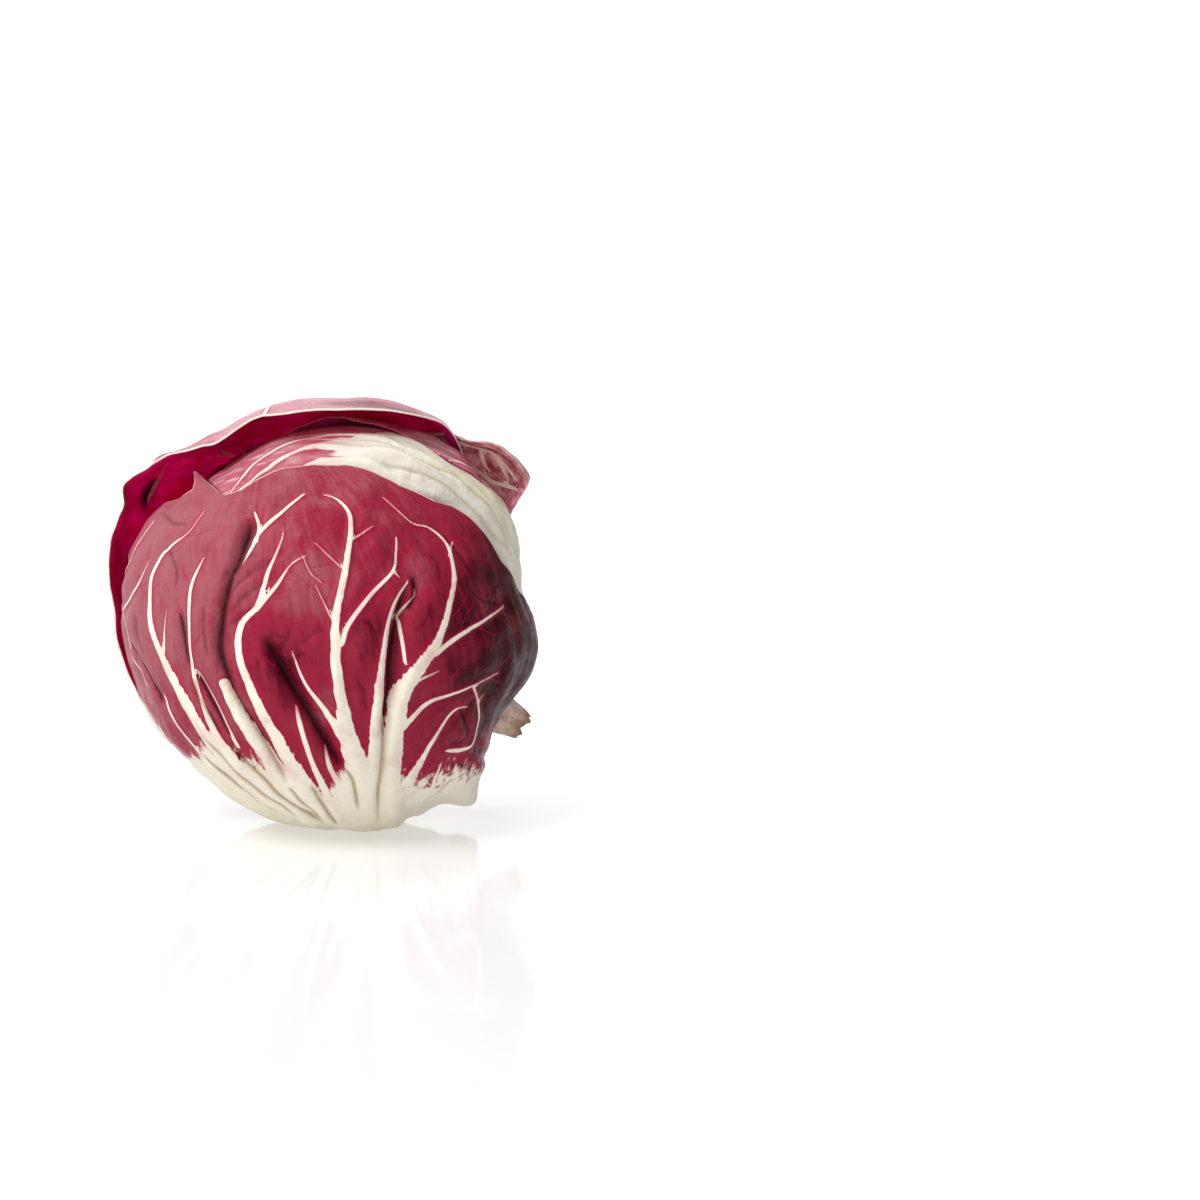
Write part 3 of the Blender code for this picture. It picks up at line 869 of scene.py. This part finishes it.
# How far past the head's horizon the hood's margin comes forward, in degrees: (turn, angle).
HOOD_FORWARD = (
    (-158, -3), (-170, -1), (176, 1), (160, 2), (148, 2),
    (140, 4), (133, 8), (128, 13), (121, 21), (114, 18),
    (108, 17), (100, 23), (86, 23), (75, 19), (68, 15), (58, 5), (50, -8), (42, -20), (20, -34), (0, -34),
    (-60, -38), (-90, -38), (-118, -34), (-138, -24), (-150, -11),
)
hood_forward = ring(HOOD_FORWARD, 1.5)


def hood_reach(turn_about_back):
    """Reach of the hood about the back pole."""
    horizon = towards(turn_about_back, np.full(np.shape(turn_about_back), 90.0), -FRONT)
    turn, _ = angles_about(horizon, FRONT)
    return 90.0 + hood_forward(turn)


def hood_radius(directions, rim):
    """The hood's outline at its margin, easing to a ball at the back."""
    turn, away = angles_about(directions, FRONT)
    back = smooth_step(away, 96.0, 128.0)
    height = hood_height(turn)
    low = 2.6 * hump(turn_between(turn, -135.0), 40.0) * (1.0 - smooth_step(away, 120.0, 150.0))
    return height + (58.3 - low - height) * back


# Ribs on the hood's inner face as seen from the front, hollows painted darker there as shade, and one rib
# on its outer face.
HOOD_MARKS = (
    ((-48.5, 35, 0.9), (-46, 40, 1.1), (-43, 45.5, 0.6)),
    ((-29.5, 47, 0.5), (-25, 47, 0.9)),
    ((-29, 49, 0.5), (-25, 47, 0.9)),
    ((-18, 50, 0.6), (-22, 48, 0.4), (-22.5, 46.5, 0.3)),
)
HOOD_TICKS = (
    ((-16, 57, 1), (-14.5, 59, 0.9), (-13.5, 60.5, 0.6)),
    ((18.5, 57, 0.7), (19, 55.5, 0.5)),
)
HOOD_HOLLOW_PAINTED_SHADE = (
    ((-49.6, 34.6, 2.6), (-48.6, 37.6, 2.4), (-47.0, 40.4, 1.0)),
    ((-33.0, 38.0, 2.0), (-27.0, 44.0, 3.6), (-20.0, 48.0, 3.0), (-12.0, 51.0, 2.0)),
)
FLAP_TURN = 147.0


def hood_inner(directions, rim):
    """Fields of the hood's inner face, with painted shade in its hollows and its folded flap at the left.
    """
    spots = directions * RADIUS
    marks = [shell_line(points, hood_radius, True) for points in HOOD_MARKS]
    fields, _ = lay_ribs(spots, marks)
    # Painted shade in the hollows: only the colour is darkened, the face keeps its shape.
    dark = np.zeros(len(spots))
    for points in HOOD_HOLLOW_PAINTED_SHADE:
        near, distance, half, _, _ = near_line(spots, shell_line(points, hood_radius, True), 8.0)
        dark[near] = np.maximum(dark[near], np.exp(-((distance / (half + 0.6)) ** 2)))
    turn, _ = angles_about(directions, FRONT)
    folded = hump(turn_between(turn, FLAP_TURN), 3.4) * (1.0 - smooth_step(rim, 3.5, 5.0))
    fields.update(base=np.full(len(spots), NO_BASE), crease=dark, tone=folded,
                  veins=np.full(len(spots), NO_VEIN))
    return fields


def hood_detail(lines, seed):
    """Relief and fields of the hood's outer face, paler on top by painted glare, with a rib that reaches
    its margin.
    """
    plain = plain_detail(STEM_AXIS, lines, seed, relief_share=0.8, base_reach=38.0, tone_middle=0.64)

    def detail(directions, rim):
        relief, fields = plain(directions, rim)
        turn, away = angles_about(directions, FRONT)
        ticks = [shell_line(points, hood_radius, False) for points in HOOD_TICKS]
        extra, height = lay_ribs(directions * RADIUS, ticks)
        nearer = extra["white"] > fields["white"]
        for label, values in extra.items():
            fields[label] = np.where(nearer, values, fields[label])
        # Painted glare: the hood's top band is paled toward its first tone.
        painted_glare = hump(turn_between(turn, 96.0), 52.0) * (1.0 - smooth_step(away, 78.0, 112.0))
        fields["tone"] = np.clip(fields["tone"] - 0.62 * painted_glare, 0.0, 1.0)
        calm = 1.0 - 0.5 * smooth_step(7.0 - rim, 0.0, 6.0)
        return relief * calm + 0.5 * height, fields
    return detail


# Veins on the inner face of the right leaf's raised tip as seen from the front.
RIGHT_MARKS = (
    ((37.5, 49.5, 1.5), (45.5, 48, 1.2), (50, 44.5, 1), (53.5, 40, 0.6)),
    ((39.5, 45, 1.5), (46.5, 39.5, 1.1), (51, 38, 0.9), (54, 37, 0.5)),
    ((44, 48, 0.9), (44.5, 45, 0.8), (46, 42.5, 0.5)),
    ((48.5, 45.5, 0.8), (51.5, 39.5, 0.5)),
)


def right_inner(directions, rim):
    """Fields of the right leaf's inner face."""
    spots = directions * RADIUS
    marks = [shell_line(points, right_radius, True) for points in RIGHT_MARKS]
    fields, _ = lay_ribs(spots, marks)
    fields.update(base=np.full(len(spots), NO_BASE), crease=np.zeros(len(spots)), tone=np.zeros(len(spots)),
                  veins=np.full(len(spots), NO_VEIN))
    return fields


def outline_about(pole, points):
    """Reach about a pole of an outline given as (turn, angle) points about the front of the head."""
    turns, aways = zip(*points)
    turn, away = angles_about(towards(turns, aways, FRONT), pole)
    return ring(list(zip(turn.tolist(), away.tolist())), OUTLINE_BLUR)


CROWN_POLE = unit(np.array([0.46, -0.41, 0.79]))
CROWN_BORDER = (
    (134.5, 60), (131, 48), (112, 42), (85, 38), (60, 37),
    (35, 38), (12, 46), (-2, 60), (-14, 78), (-18, 92),
    (-6, 106), (20, 112), (45, 112), (70, 110), (90, 106), (104, 100), (114, 92), (121, 82), (127, 73),
    (133, 65),
)
SHOULDER_POLE = unit(np.array([0.32, 0.33, 0.888]))
SHOULDER_BORDER = (
    (24, 100), (31, 90), (40, 81), (50, 77), (60, 77),
    (70, 79), (79, 84), (90, 94), (102, 108), (108, 125),
    (90, 140), (50, 145), (15, 138), (5, 120), (12, 108),
)
RIGHT_POLE = unit(np.array([0.72, 0.62, 0.31]))
RIGHT_BORDER = (
    (27, 112), (31, 104), (32.4, 93), (34.4, 88), (41, 84),
    (46, 84), (51, 87), (55, 93), (64, 104), (74, 122),
    (76, 145), (20, 172), (-30, 150), (-22, 124), (-6, 119), (14, 115),
)
UNDER_POLE = unit(np.array([-0.15, 0.62, -0.77]))
UNDER_REACH = ((0, 46), (70, 50), (150, 52), (200, 46), (270, 50))
BACK_POLE = unit(np.array([-0.35, 0.90, -0.25]))
BACK_REACH = ((0, 50), (90, 56), (150, 48), (200, 46), (270, 50))
RIGHT_FLARE = (
    (20, 59), (28.5, 59), (31, 61), (32, 63.5), (33.5, 67), (35, 69), (37.5, 69), (45, 68), (51, 64),
    (55, 62.5), (62, 61), (75, 60.5), (180, 60.5), (270, 60.5),
)
right_height = ring(RIGHT_FLARE, 1.0)


def right_radius(directions, rim):
    """The right leaf's ball, with its tip flared out at the margin."""
    turn, away = angles_about(directions, FRONT)
    out = 1.0 - smooth_step(away, 90.0, 112.0)
    return 60.0 + (right_height(turn) - 60.0) * out


def sunk_radius(depth):
    """Radius of a leaf that lies this deep under the head's outer face."""
    def radius_of(directions, rim):
        return np.clip(head_shape(directions) - depth, 51.2, RADIUS - depth)
    return radius_of


class Nodes:
    """Builds a material's nodes; values may be numbers, colours or other nodes' outputs."""

    def __init__(self, name):
        self.material = bpy.data.materials.new(name)
        self.material.use_nodes = True
        self.tree = self.material.node_tree
        self.shader = self.tree.nodes["Principled BSDF"]

    def put(self, socket, value):
        if isinstance(value, bpy.types.NodeSocket):
            self.tree.links.new(value, socket)
        elif isinstance(value, tuple) and len(value) == 3 and len(socket.default_value) == 4:
            socket.default_value = (*value, 1.0)
        else:
            socket.default_value = value

    def attribute(self, name, output="Fac"):
        node = self.tree.nodes.new("ShaderNodeAttribute")
        node.attribute_name = name
        return node.outputs[output]

    def maths(self, operation, *values):
        node = self.tree.nodes.new("ShaderNodeMath")
        node.operation = operation
        for socket, value in zip(node.inputs, values):
            self.put(socket, value)
        return node.outputs[0]

    def span(self, value, low, high, start=0.0, end=1.0):
        """Ease a value from one range to another."""
        node = self.tree.nodes.new("ShaderNodeMapRange")
        node.interpolation_type = "SMOOTHSTEP"
        for label, number in (("Value", value), ("From Min", low), ("From Max", high), ("To Min", start),
                              ("To Max", end)):
            self.put(node.inputs[label], number)
        return node.outputs["Result"]

    def mix(self, share, first, second, blend="MIX"):
        node = self.tree.nodes.new("ShaderNodeMix")
        node.data_type = "RGBA"
        node.blend_type = blend
        self.put(node.inputs[0], share)
        self.put(node.inputs[6], first)
        self.put(node.inputs[7], second)
        return node.outputs[2]

    def millimetres(self):
        """Object coordinates in mm."""
        place = self.tree.nodes.new("ShaderNodeTexCoord")
        scale = self.tree.nodes.new("ShaderNodeVectorMath")
        scale.operation = "SCALE"
        self.put(scale.inputs[0], place.outputs["Object"])
        scale.inputs["Scale"].default_value = 1.0 / MM
        return scale.outputs[0]

    def noise(self, place, size, detail=3.0, roughness=0.55):
        """Noise about 0.5 with patches of this size."""
        node = self.tree.nodes.new("ShaderNodeTexNoise")
        self.put(node.inputs["Vector"], place)
        node.inputs["Scale"].default_value = 1.0 / size
        node.inputs["Detail"].default_value = detail
        node.inputs["Roughness"].default_value = roughness
        return node.outputs["Fac"]

    def bump(self, height, strength, depth):
        """Roughen the surface by a height from 0 to 1 that stands for a depth in mm."""
        node = self.tree.nodes.new("ShaderNodeBump")
        node.inputs["Strength"].default_value = strength
        node.inputs["Distance"].default_value = depth * MM
        self.put(node.inputs["Height"], height)
        self.put(self.shader.inputs["Normal"], node.outputs["Normal"])


def colour(red, green, blue, share=1.0):
    """Linear colour from a screen colour of 0 to 255, dimmed by a share."""
    return tuple(share * (value / 255.0) ** 2.2 for value in (red, green, blue))


# Lit and shaded copies of the blade's crimson: the rose is crimson paled by painted sheen, the wine is
# crimson darkened by painted shade, each partly the leaf's own colour.
ROSE_AND_SHEEN = colour(164, 90, 100, 0.84)
CRIMSON = colour(154, 40, 64, 0.82)
WINE_AND_SHADE = colour(64, 4, 22, 0.80)
HALO = colour(176, 22, 68, 0.80)
CREAM = colour(240, 232, 214, 0.93)
LOW_CREAM = colour(228, 220, 190, 0.93)
BLUSH = colour(216, 132, 146, 0.86)
# Painted shade for folds: near black on the red blade, beige on the pale flesh.
PAINTED_RED_FOLD_SHADE = colour(34, 2, 10, 0.6)
PAINTED_PALE_FOLD_SHADE = colour(172, 146, 112, 0.8)
RED_TONES = (ROSE_AND_SHEEN, CRIMSON, WINE_AND_SHADE)
PALE_TONES = (colour(226, 174, 178, 0.80), colour(194, 100, 120, 0.80), colour(148, 36, 64, 0.80))
# The hood's tones; the first, pale one is mostly painted glare on the hood's top band.
HOOD_TONES = (colour(202, 146, 156, 0.80), colour(168, 62, 88, 0.82), colour(104, 18, 42, 0.82))
CROWN_CREAM = colour(242, 236, 222, 0.74)
# Inner faces: crimson and pink brighter than the leaf's own, painted light standing in for light that
# shines through it.
INSIDE_AND_PAINTED_LIGHT = (colour(228, 8, 96), colour(255, 24, 150))
INSIDE_RIB = colour(214, 120, 140, 0.8)
# The right leaf's inner face: crimson mottled with a pale tone that is painted sheen.
RIGHT_INSIDE_AND_SHEEN = (colour(168, 60, 86), colour(250, 190, 198))
RIGHT_INSIDE_RIB = colour(255, 246, 226)


def rib_mask(work, fan):
    """1 on the ribs and 0 off them: broad ribs have frayed edges, narrow ones a sharp line."""
    exact = work.maths("SUBTRACT", work.attribute("half"), work.maths("ABSOLUTE", work.attribute("across")))
    fray = work.maths("MULTIPLY", work.span(work.attribute("half"), 0.3, 2.0, 0.3, 1.8),
                      work.maths("SUBTRACT", work.noise(fan, 0.9, 3.0), 0.5))
    thin = work.maths("ADD", exact, 0.05)
    thick = work.maths("ADD", work.maths("ADD", work.attribute("white"), fray), 0.05)
    narrow = work.maths("MULTIPLY", work.span(thin, -0.12, 0.14),
                        work.span(work.attribute("white"), -0.62, -0.38))
    narrow = work.maths("MULTIPLY", narrow, work.span(work.attribute("half"), 0.55, 0.8, 1.0, 0.0))
    narrow = work.maths("MULTIPLY", narrow, work.span(work.attribute("half"), 0.05, 0.35, 0.35, 1.0))
    return work.maths("MAXIMUM", narrow, work.span(thick, -0.12, 0.20))


def blade_colour(work, tones, rib, streak, mottle, base, veins, milky):
    """The coloured part: from the first tone to the last, redder beside the ribs and on fine veins."""
    tone = work.maths("ADD", work.attribute("tone"), work.maths("MULTIPLY_ADD", mottle, 0.6, -0.30))
    tone = work.maths("ADD", tone, work.maths("MULTIPLY_ADD", streak, 0.44, -0.22))
    blade = work.mix(work.span(tone, 0.0, 0.5), tones[0], tones[1])
    blade = work.mix(work.span(tone, 0.5, 1.0), blade, tones[2])
    blade = work.mix(work.span(streak, 0.50, 0.66, 0.0, milky), blade, rib)
    halo = work.maths("MAXIMUM", work.span(work.attribute("white"), -1.1, -0.1), work.span(base, -9.0, 0.0))
    blade = work.mix(work.maths("MULTIPLY", halo, 0.65), blade, HALO)
    fine = work.span(work.maths("ABSOLUTE", work.attribute("veins")), 0.08, 0.34, veins, 0.0)
    return work.mix(work.maths("MULTIPLY", fine, work.span(mottle, 0.3, 0.6, 0.3, 1.0)), blade, HALO)


def flesh_colour(work, rib, mottle, base, blush):
    """The pale part: yellower deep in the base, blushed in patches near its border."""
    flesh = work.mix(work.span(base, 4.0, 26.0), rib, LOW_CREAM)
    tinge = work.maths("MULTIPLY", work.span(base, 8.0, -2.0), work.span(mottle, 0.45, 0.70, 0.0, blush))
    return work.mix(tinge, flesh, BLUSH)


def inner_colour(work, inside, inside_rib, mottle, pale):
    """The inner face, rose where its tone field is high."""
    under = work.mix(work.span(mottle, 0.35, 0.65), inside[0], inside[1])
    under = work.mix(work.maths("MULTIPLY", pale, 0.8), under, inside_rib)
    return work.mix(work.attribute("tone"), under, ROSE_AND_SHEEN)


def leaf_material(name, tones, rib, inside=INSIDE_AND_PAINTED_LIGHT, inside_rib=INSIDE_RIB, gloss=0.36, blush=0.35, veins=0.6,
                  margin=0.6, specular=0.07, milky=0.0, through=0.06, edge_width=0.5):
    """Coloured blade between pale ribs, with a red fringe, fine veins, painted shade in the folds and a
    pale margin.
    """
    work = Nodes(name)
    place = work.millimetres()
    fan = work.attribute("fan", "Vector")
    streak = work.noise(fan, 1.6, 3.0)
    mottle = work.noise(place, 7.0, 4.0, 0.6)
    base = work.maths("ADD", work.attribute("base"), work.maths("MULTIPLY_ADD", streak, 14.0, -7.0))
    pale = work.maths("MAXIMUM", rib_mask(work, fan), work.span(base, -2.2, 1.2))
    skin = work.mix(pale, blade_colour(work, tones, rib, streak, mottle, base, veins, milky),
                    flesh_colour(work, rib, mottle, base, blush))
    skin = work.mix(work.attribute("inside"), skin, inner_colour(work, inside, inside_rib, mottle, pale))
    # Painted shade: folds are darkened in the colour itself.
    fold = work.mix(pale, PAINTED_RED_FOLD_SHADE, PAINTED_PALE_FOLD_SHADE)
    skin = work.mix(work.maths("MULTIPLY", work.attribute("crease"), 0.95), skin, fold)
    skin = work.mix(work.span(work.attribute("rim"), 0.10, edge_width, margin, 0.0), skin, rib)
    work.put(work.shader.inputs["Base Color"], skin)
    rough = work.span(work.noise(place, 2.6), 0.3, 0.7, gloss - 0.08, gloss + 0.10)
    work.put(work.shader.inputs["Roughness"], rough)
    work.shader.inputs["Specular IOR Level"].default_value = specular
    work.shader.inputs["Subsurface Weight"].default_value = through
    work.shader.inputs["Subsurface Radius"].default_value = (0.0020, 0.0010, 0.0014)
    work.shader.inputs["Subsurface Scale"].default_value = 1.0
    grain = work.maths("MULTIPLY", work.noise(fan, 1.6, 4.0), 0.6)
    grain = work.maths("ADD", grain, work.noise(place, 1.7, 4.0))
    work.bump(grain, strength=0.55, depth=0.6)
    return work.material


def hidden_material(name, pale, red):
    """Crowded inner leaves: pale flesh with red blades, in streaks."""
    work = Nodes(name)
    place = work.millimetres()
    skin = work.mix(work.span(work.noise(place, 6.0, 4.0), 0.40, 0.60), pale, red)
    work.put(work.shader.inputs["Base Color"], skin)
    work.put(work.shader.inputs["Roughness"], work.span(work.noise(place, 2.0), 0.3, 0.7, 0.4, 0.55))
    return work.material


def stem_material(name):
    """Cut stem: tan and mottled pink, browner at the cut."""
    work = Nodes(name)
    place = work.millimetres()
    mottle = work.noise(place, 3.0, 4.0, 0.65)
    skin = work.mix(work.span(mottle, 0.35, 0.65), colour(196, 164, 138, 0.9), colour(222, 194, 186, 0.9))
    skin = work.mix(work.span(work.noise(place, 1.1), 0.56, 0.74), skin, colour(156, 112, 84, 0.9))
    skin = work.mix(work.span(work.attribute("cut"), 0.75, 1.0), skin, colour(152, 112, 78, 0.85))
    work.put(work.shader.inputs["Base Color"], skin)
    work.put(work.shader.inputs["Roughness"], work.span(mottle, 0.3, 0.7, 0.5, 0.7))
    work.bump(work.noise(place, 1.6, 4.0, 0.65), strength=0.8, depth=0.8)
    return work.material


def finish_piece(piece, node, material):
    piece.data.materials.append(material)
    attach(piece, "root")
    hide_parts(node)


STUB_START, STUB_END = 44.0, 67.4        # how far the stub starts and ends from the head's centre
STUB_RADIUS, STUB_TAPER = 6.1, 1.7


def build_stem():
    """The stub: a tapering, ridged stalk with a slanting, ragged cut."""
    steps, rings = 72, 40
    side, rise = axes_about(STEM_AXIS)
    points, cuts = [], []
    for level in range(rings + 1):
        share = level / rings
        for step in range(steps):
            turn = 2.0 * math.pi * step / steps
            ragged = 0.9 * math.sin(3.0 * turn + 0.6) + 0.6 * math.sin(7.0 * turn)
            ragged += 0.4 * math.sin(12.0 * turn)
            reach = STUB_START + (STUB_END - STUB_START + ragged * 0.8) * share
            radius = STUB_RADIUS - STUB_TAPER * smooth_step(reach, 57.0, 68.0)
            radius *= 1.0 + 0.05 * math.sin(5.0 * turn + 1.0) + 0.03 * math.sin(9.0 * turn + share * 3.0)
            radius *= 1.0 - 0.10 * smooth_step(share, 0.96, 1.0)
            around = math.cos(turn) * side + math.sin(turn) * rise
            points.append(CENTRE + MM * (reach * STEM_AXIS + radius * around))
            cuts.append(share)
    faces = []
    for level in range(rings):
        for step in range(steps):
            following = (step + 1) % steps
            a, b = level * steps + step, level * steps + following
            faces.append((a, b, b + steps, a + steps))
    caps = []
    for level, lift in ((0, 0.0), (rings, -0.5)):
        first = level * steps
        middle = np.mean(points[first:first + steps], axis=0) + MM * lift * STEM_AXIS
        caps.append((first, len(points)))
        points.append(middle)
        cuts.append(level / rings)
    for first, middle in caps:
        for step in range(steps):
            a, b = first + step, first + (step + 1) % steps
            faces.append((b, a, middle) if first == 0 else (a, b, middle))
    mesh = add_mesh("stem_stub", [tuple(point) for point in points], faces)
    layer = mesh.attributes.new("cut", "FLOAT", "POINT")
    layer.data.foreach_set("value", cuts)
    mesh.update()
    return add_object("stem_stub", mesh)


def build_front(red):
    outline = with_stalk(front_reach, FRONT)
    front = build_leaf("front_leaf_blade", FRONT, outline, front_radius, front_detail,
                       cells=300, coarse=75, thickness=0.9, depth=3.9)
    finish_piece(front, "front_leaf", red)


def build_crown():
    outline = with_stalk(outline_about(CROWN_POLE, CROWN_BORDER), CROWN_POLE, 24.0)
    crown = build_leaf("crown_leaf_blade", CROWN_POLE, outline, crown_radius, crown_detail,
                       cells=240, coarse=60, thickness=0.8, depth=0.8)
    skin = leaf_material("crown_leaf_skin", PALE_TONES, CROWN_CREAM, gloss=0.34, blush=0.3, veins=0.1,
                         margin=0.2, specular=0.2, milky=0.5)
    finish_piece(crown, "crown_leaf", skin)


def build_shoulder():
    ribs = fan_ribs(STEM_AXIS, SHOULDER_POLE, spread=34.0, count=4, length=120.0, width=5.0, seed=21)
    detail = plain_detail(STEM_AXIS, ribs, seed=22, relief_share=0.7, base_reach=52.0, tone_middle=0.3)
    outline = outline_about(SHOULDER_POLE, SHOULDER_BORDER)
    shoulder = build_leaf("shoulder_leaf_blade", SHOULDER_POLE, outline, shoulder_radius, detail,
                          cells=160, coarse=40, thickness=0.6, depth=0.3)
    skin = leaf_material("shoulder_leaf_skin", PALE_TONES, CREAM, margin=0.0)
    finish_piece(shoulder, "shoulder_leaf", skin)


def build_hood():
    middle = unit(-FRONT + 0.6 * UP - 0.25 * RIGHT)
    ribs = fan_ribs(STEM_AXIS, middle, spread=66.0, count=7, length=150.0, width=5.5, seed=31)
    hood = build_leaf("hood_leaf_blade", -FRONT, hood_reach, hood_radius, hood_detail(ribs, 32),
                      cells=276, coarse=138, thickness=0.8, depth=0.5, inner_detail=hood_inner)
    skin = leaf_material("hood_leaf_skin", HOOD_TONES, CREAM, gloss=0.34, through=0.5, margin=1.0,
                         edge_width=0.7)
    finish_piece(hood, "hood_leaf", skin)


def build_right():
    ribs = fan_ribs(STEM_AXIS, RIGHT_POLE, spread=60.0, count=5, length=100.0, width=4.5, seed=41)
    detail = plain_detail(STEM_AXIS, ribs, seed=42, relief_share=0.9, base_reach=30.0, tone_middle=0.7)
    outline = with_stalk(outline_about(RIGHT_POLE, RIGHT_BORDER), RIGHT_POLE)
    right = build_leaf("right_leaf_blade", RIGHT_POLE, outline, right_radius, detail,
                       cells=180, coarse=90, thickness=0.8, depth=0.5, inner_detail=right_inner)
    skin = leaf_material("right_leaf_skin", RED_TONES, CREAM, RIGHT_INSIDE_AND_SHEEN, RIGHT_INSIDE_RIB, gloss=0.24,
                         specular=0.3, margin=0.3, through=0.3)
    finish_piece(right, "right_leaf", skin)


def build_closing_leaf(label, pole, reach, sunk, clearance, seed, red):
    """One of the leaves that close the underside and the back."""
    ribs = fan_ribs(STEM_AXIS, pole, spread=52.0, count=5, length=105.0, width=5.5, seed=seed)
    detail = plain_detail(STEM_AXIS, ribs, seed + 1, relief_share=0.8, base_reach=34.0, tone_middle=0.55)
    outline = with_stalk(ring(reach, 4.0), pole, 34.0)
    blade = build_leaf(label + "_blade", pole, outline, sunk_radius(sunk), detail,
                       cells=160, coarse=40, thickness=0.6, depth=0.3, clearance=clearance)
    finish_piece(blade, label, red)


def colour_core():
    """Inner leaves and heart keep their own meshes."""
    core = hidden_material("inner_leaf_skin", colour(226, 212, 186, 0.85), CRIMSON)
    for name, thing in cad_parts.items():
        if name == "heart" or name.startswith("inner_leaf"):
            thing.data.materials.clear()
            thing.data.materials.append(core)


def build_head():
    red = leaf_material("front_leaf_skin", RED_TONES, CREAM)
    build_front(red)
    build_crown()
    build_shoulder()
    build_hood()
    build_right()
    build_closing_leaf("under_leaf", UNDER_POLE, UNDER_REACH, 1.6, 1.6, 51, red)
    build_closing_leaf("back_leaf", BACK_POLE, BACK_REACH, 3.0, 3.0, 61, red)
    finish_piece(build_stem(), "stem", stem_material("stem_skin"))
    colour_core()


def build_floor():
    """A white floor that faintly mirrors the head, just under it."""
    mesh = bpy.data.meshes.new("floor")
    half, far, below = 2.0, 0.62, -0.0002
    mesh.from_pydata([(-half, -half, below), (half, -half, below), (half, far, below), (-half, far, below)],
                     [], [(0, 1, 2, 3)])
    floor = add_object("floor", mesh)
    work = Nodes("floor_white")
    grain = work.span(work.noise(work.millimetres(), 40.0), 0.0, 1.0)
    work.put(work.shader.inputs["Base Color"], work.mix(grain, (0.54, 0.54, 0.54), (0.56, 0.56, 0.56)))
    work.shader.inputs["Emission Color"].default_value = (1.0, 1.0, 1.0, 1.0)
    work.shader.inputs["Emission Strength"].default_value = 0.36
    work.shader.inputs["Roughness"].default_value = 0.08
    work.shader.inputs["Specular IOR Level"].default_value = 0.4
    mesh.materials.append(work.material)


def area_light(name, direction, distance, size, power):
    light = bpy.data.lights.new(name, "AREA")
    light.shape = "DISK"
    light.size = size
    light.energy = power
    lamp = add_object(name, light)
    outward = unit(np.array(direction, float))
    lamp.location = CENTRE + distance * outward
    lamp.rotation_mode = "QUATERNION"
    lamp.rotation_quaternion = Vector(outward).to_track_quat("Z", "Y")


FRONT_WHITE = 0.34                       # brightness of the room behind the camera
BACK_WHITE = 1.10                        # brightness of the backdrop
BRIGHT_SIDE = (-0.55, 0.82, 0.12)        # where the bright backdrop lies


def light_scene():
    """A white room, brighter behind the head, and three soft lamps."""
    world = bpy.data.worlds.new("studio")
    world.use_nodes = True
    tree = world.node_tree
    place = tree.nodes.new("ShaderNodeTexCoord")
    towards_back = tree.nodes.new("ShaderNodeVectorMath")
    towards_back.operation = "DOT_PRODUCT"
    towards_back.inputs[1].default_value = unit(np.array(BRIGHT_SIDE))
    depth = tree.nodes.new("ShaderNodeMapRange")
    depth.interpolation_type = "SMOOTHSTEP"
    depth.inputs["From Min"].default_value = 0.30
    depth.inputs["From Max"].default_value = 0.70
    depth.inputs["To Min"].default_value = FRONT_WHITE
    depth.inputs["To Max"].default_value = BACK_WHITE
    tree.links.new(place.outputs["Generated"], towards_back.inputs[0])
    tree.links.new(towards_back.outputs["Value"], depth.inputs["Value"])
    tree.links.new(depth.outputs["Result"], tree.nodes["Background"].inputs["Strength"])
    tree.nodes["Background"].inputs["Color"].default_value = (1.0, 1.0, 1.0, 1.0)
    bpy.context.scene.world = world
    area_light("key", (-0.62, -0.62, 1.1), 1.5, 1.0, 22.0)
    area_light("fill", (-0.10, -1.0, 0.12), 1.5, 0.8, 5.5)
    area_light("top", (0.15, 0.75, 1.2), 1.3, 0.6, 4.4)
    bpy.context.scene.view_settings.view_transform = "Standard"


def place_camera():
    lens = bpy.data.cameras.new("camera")
    lens.sensor_width = 36.0
    lens.lens = 36.0 * DISTANCE / VIEW_WIDTH
    lens.clip_start, lens.clip_end = 0.05, 20.0
    camera = add_object("camera", lens)
    camera.location = EYE
    camera.rotation_mode = "QUATERNION"
    camera.rotation_quaternion = Vector(BACKWARD).to_track_quat("Z", "Y")
    bpy.context.scene.camera = camera


build_head()
build_floor()
light_scene()
place_camera()
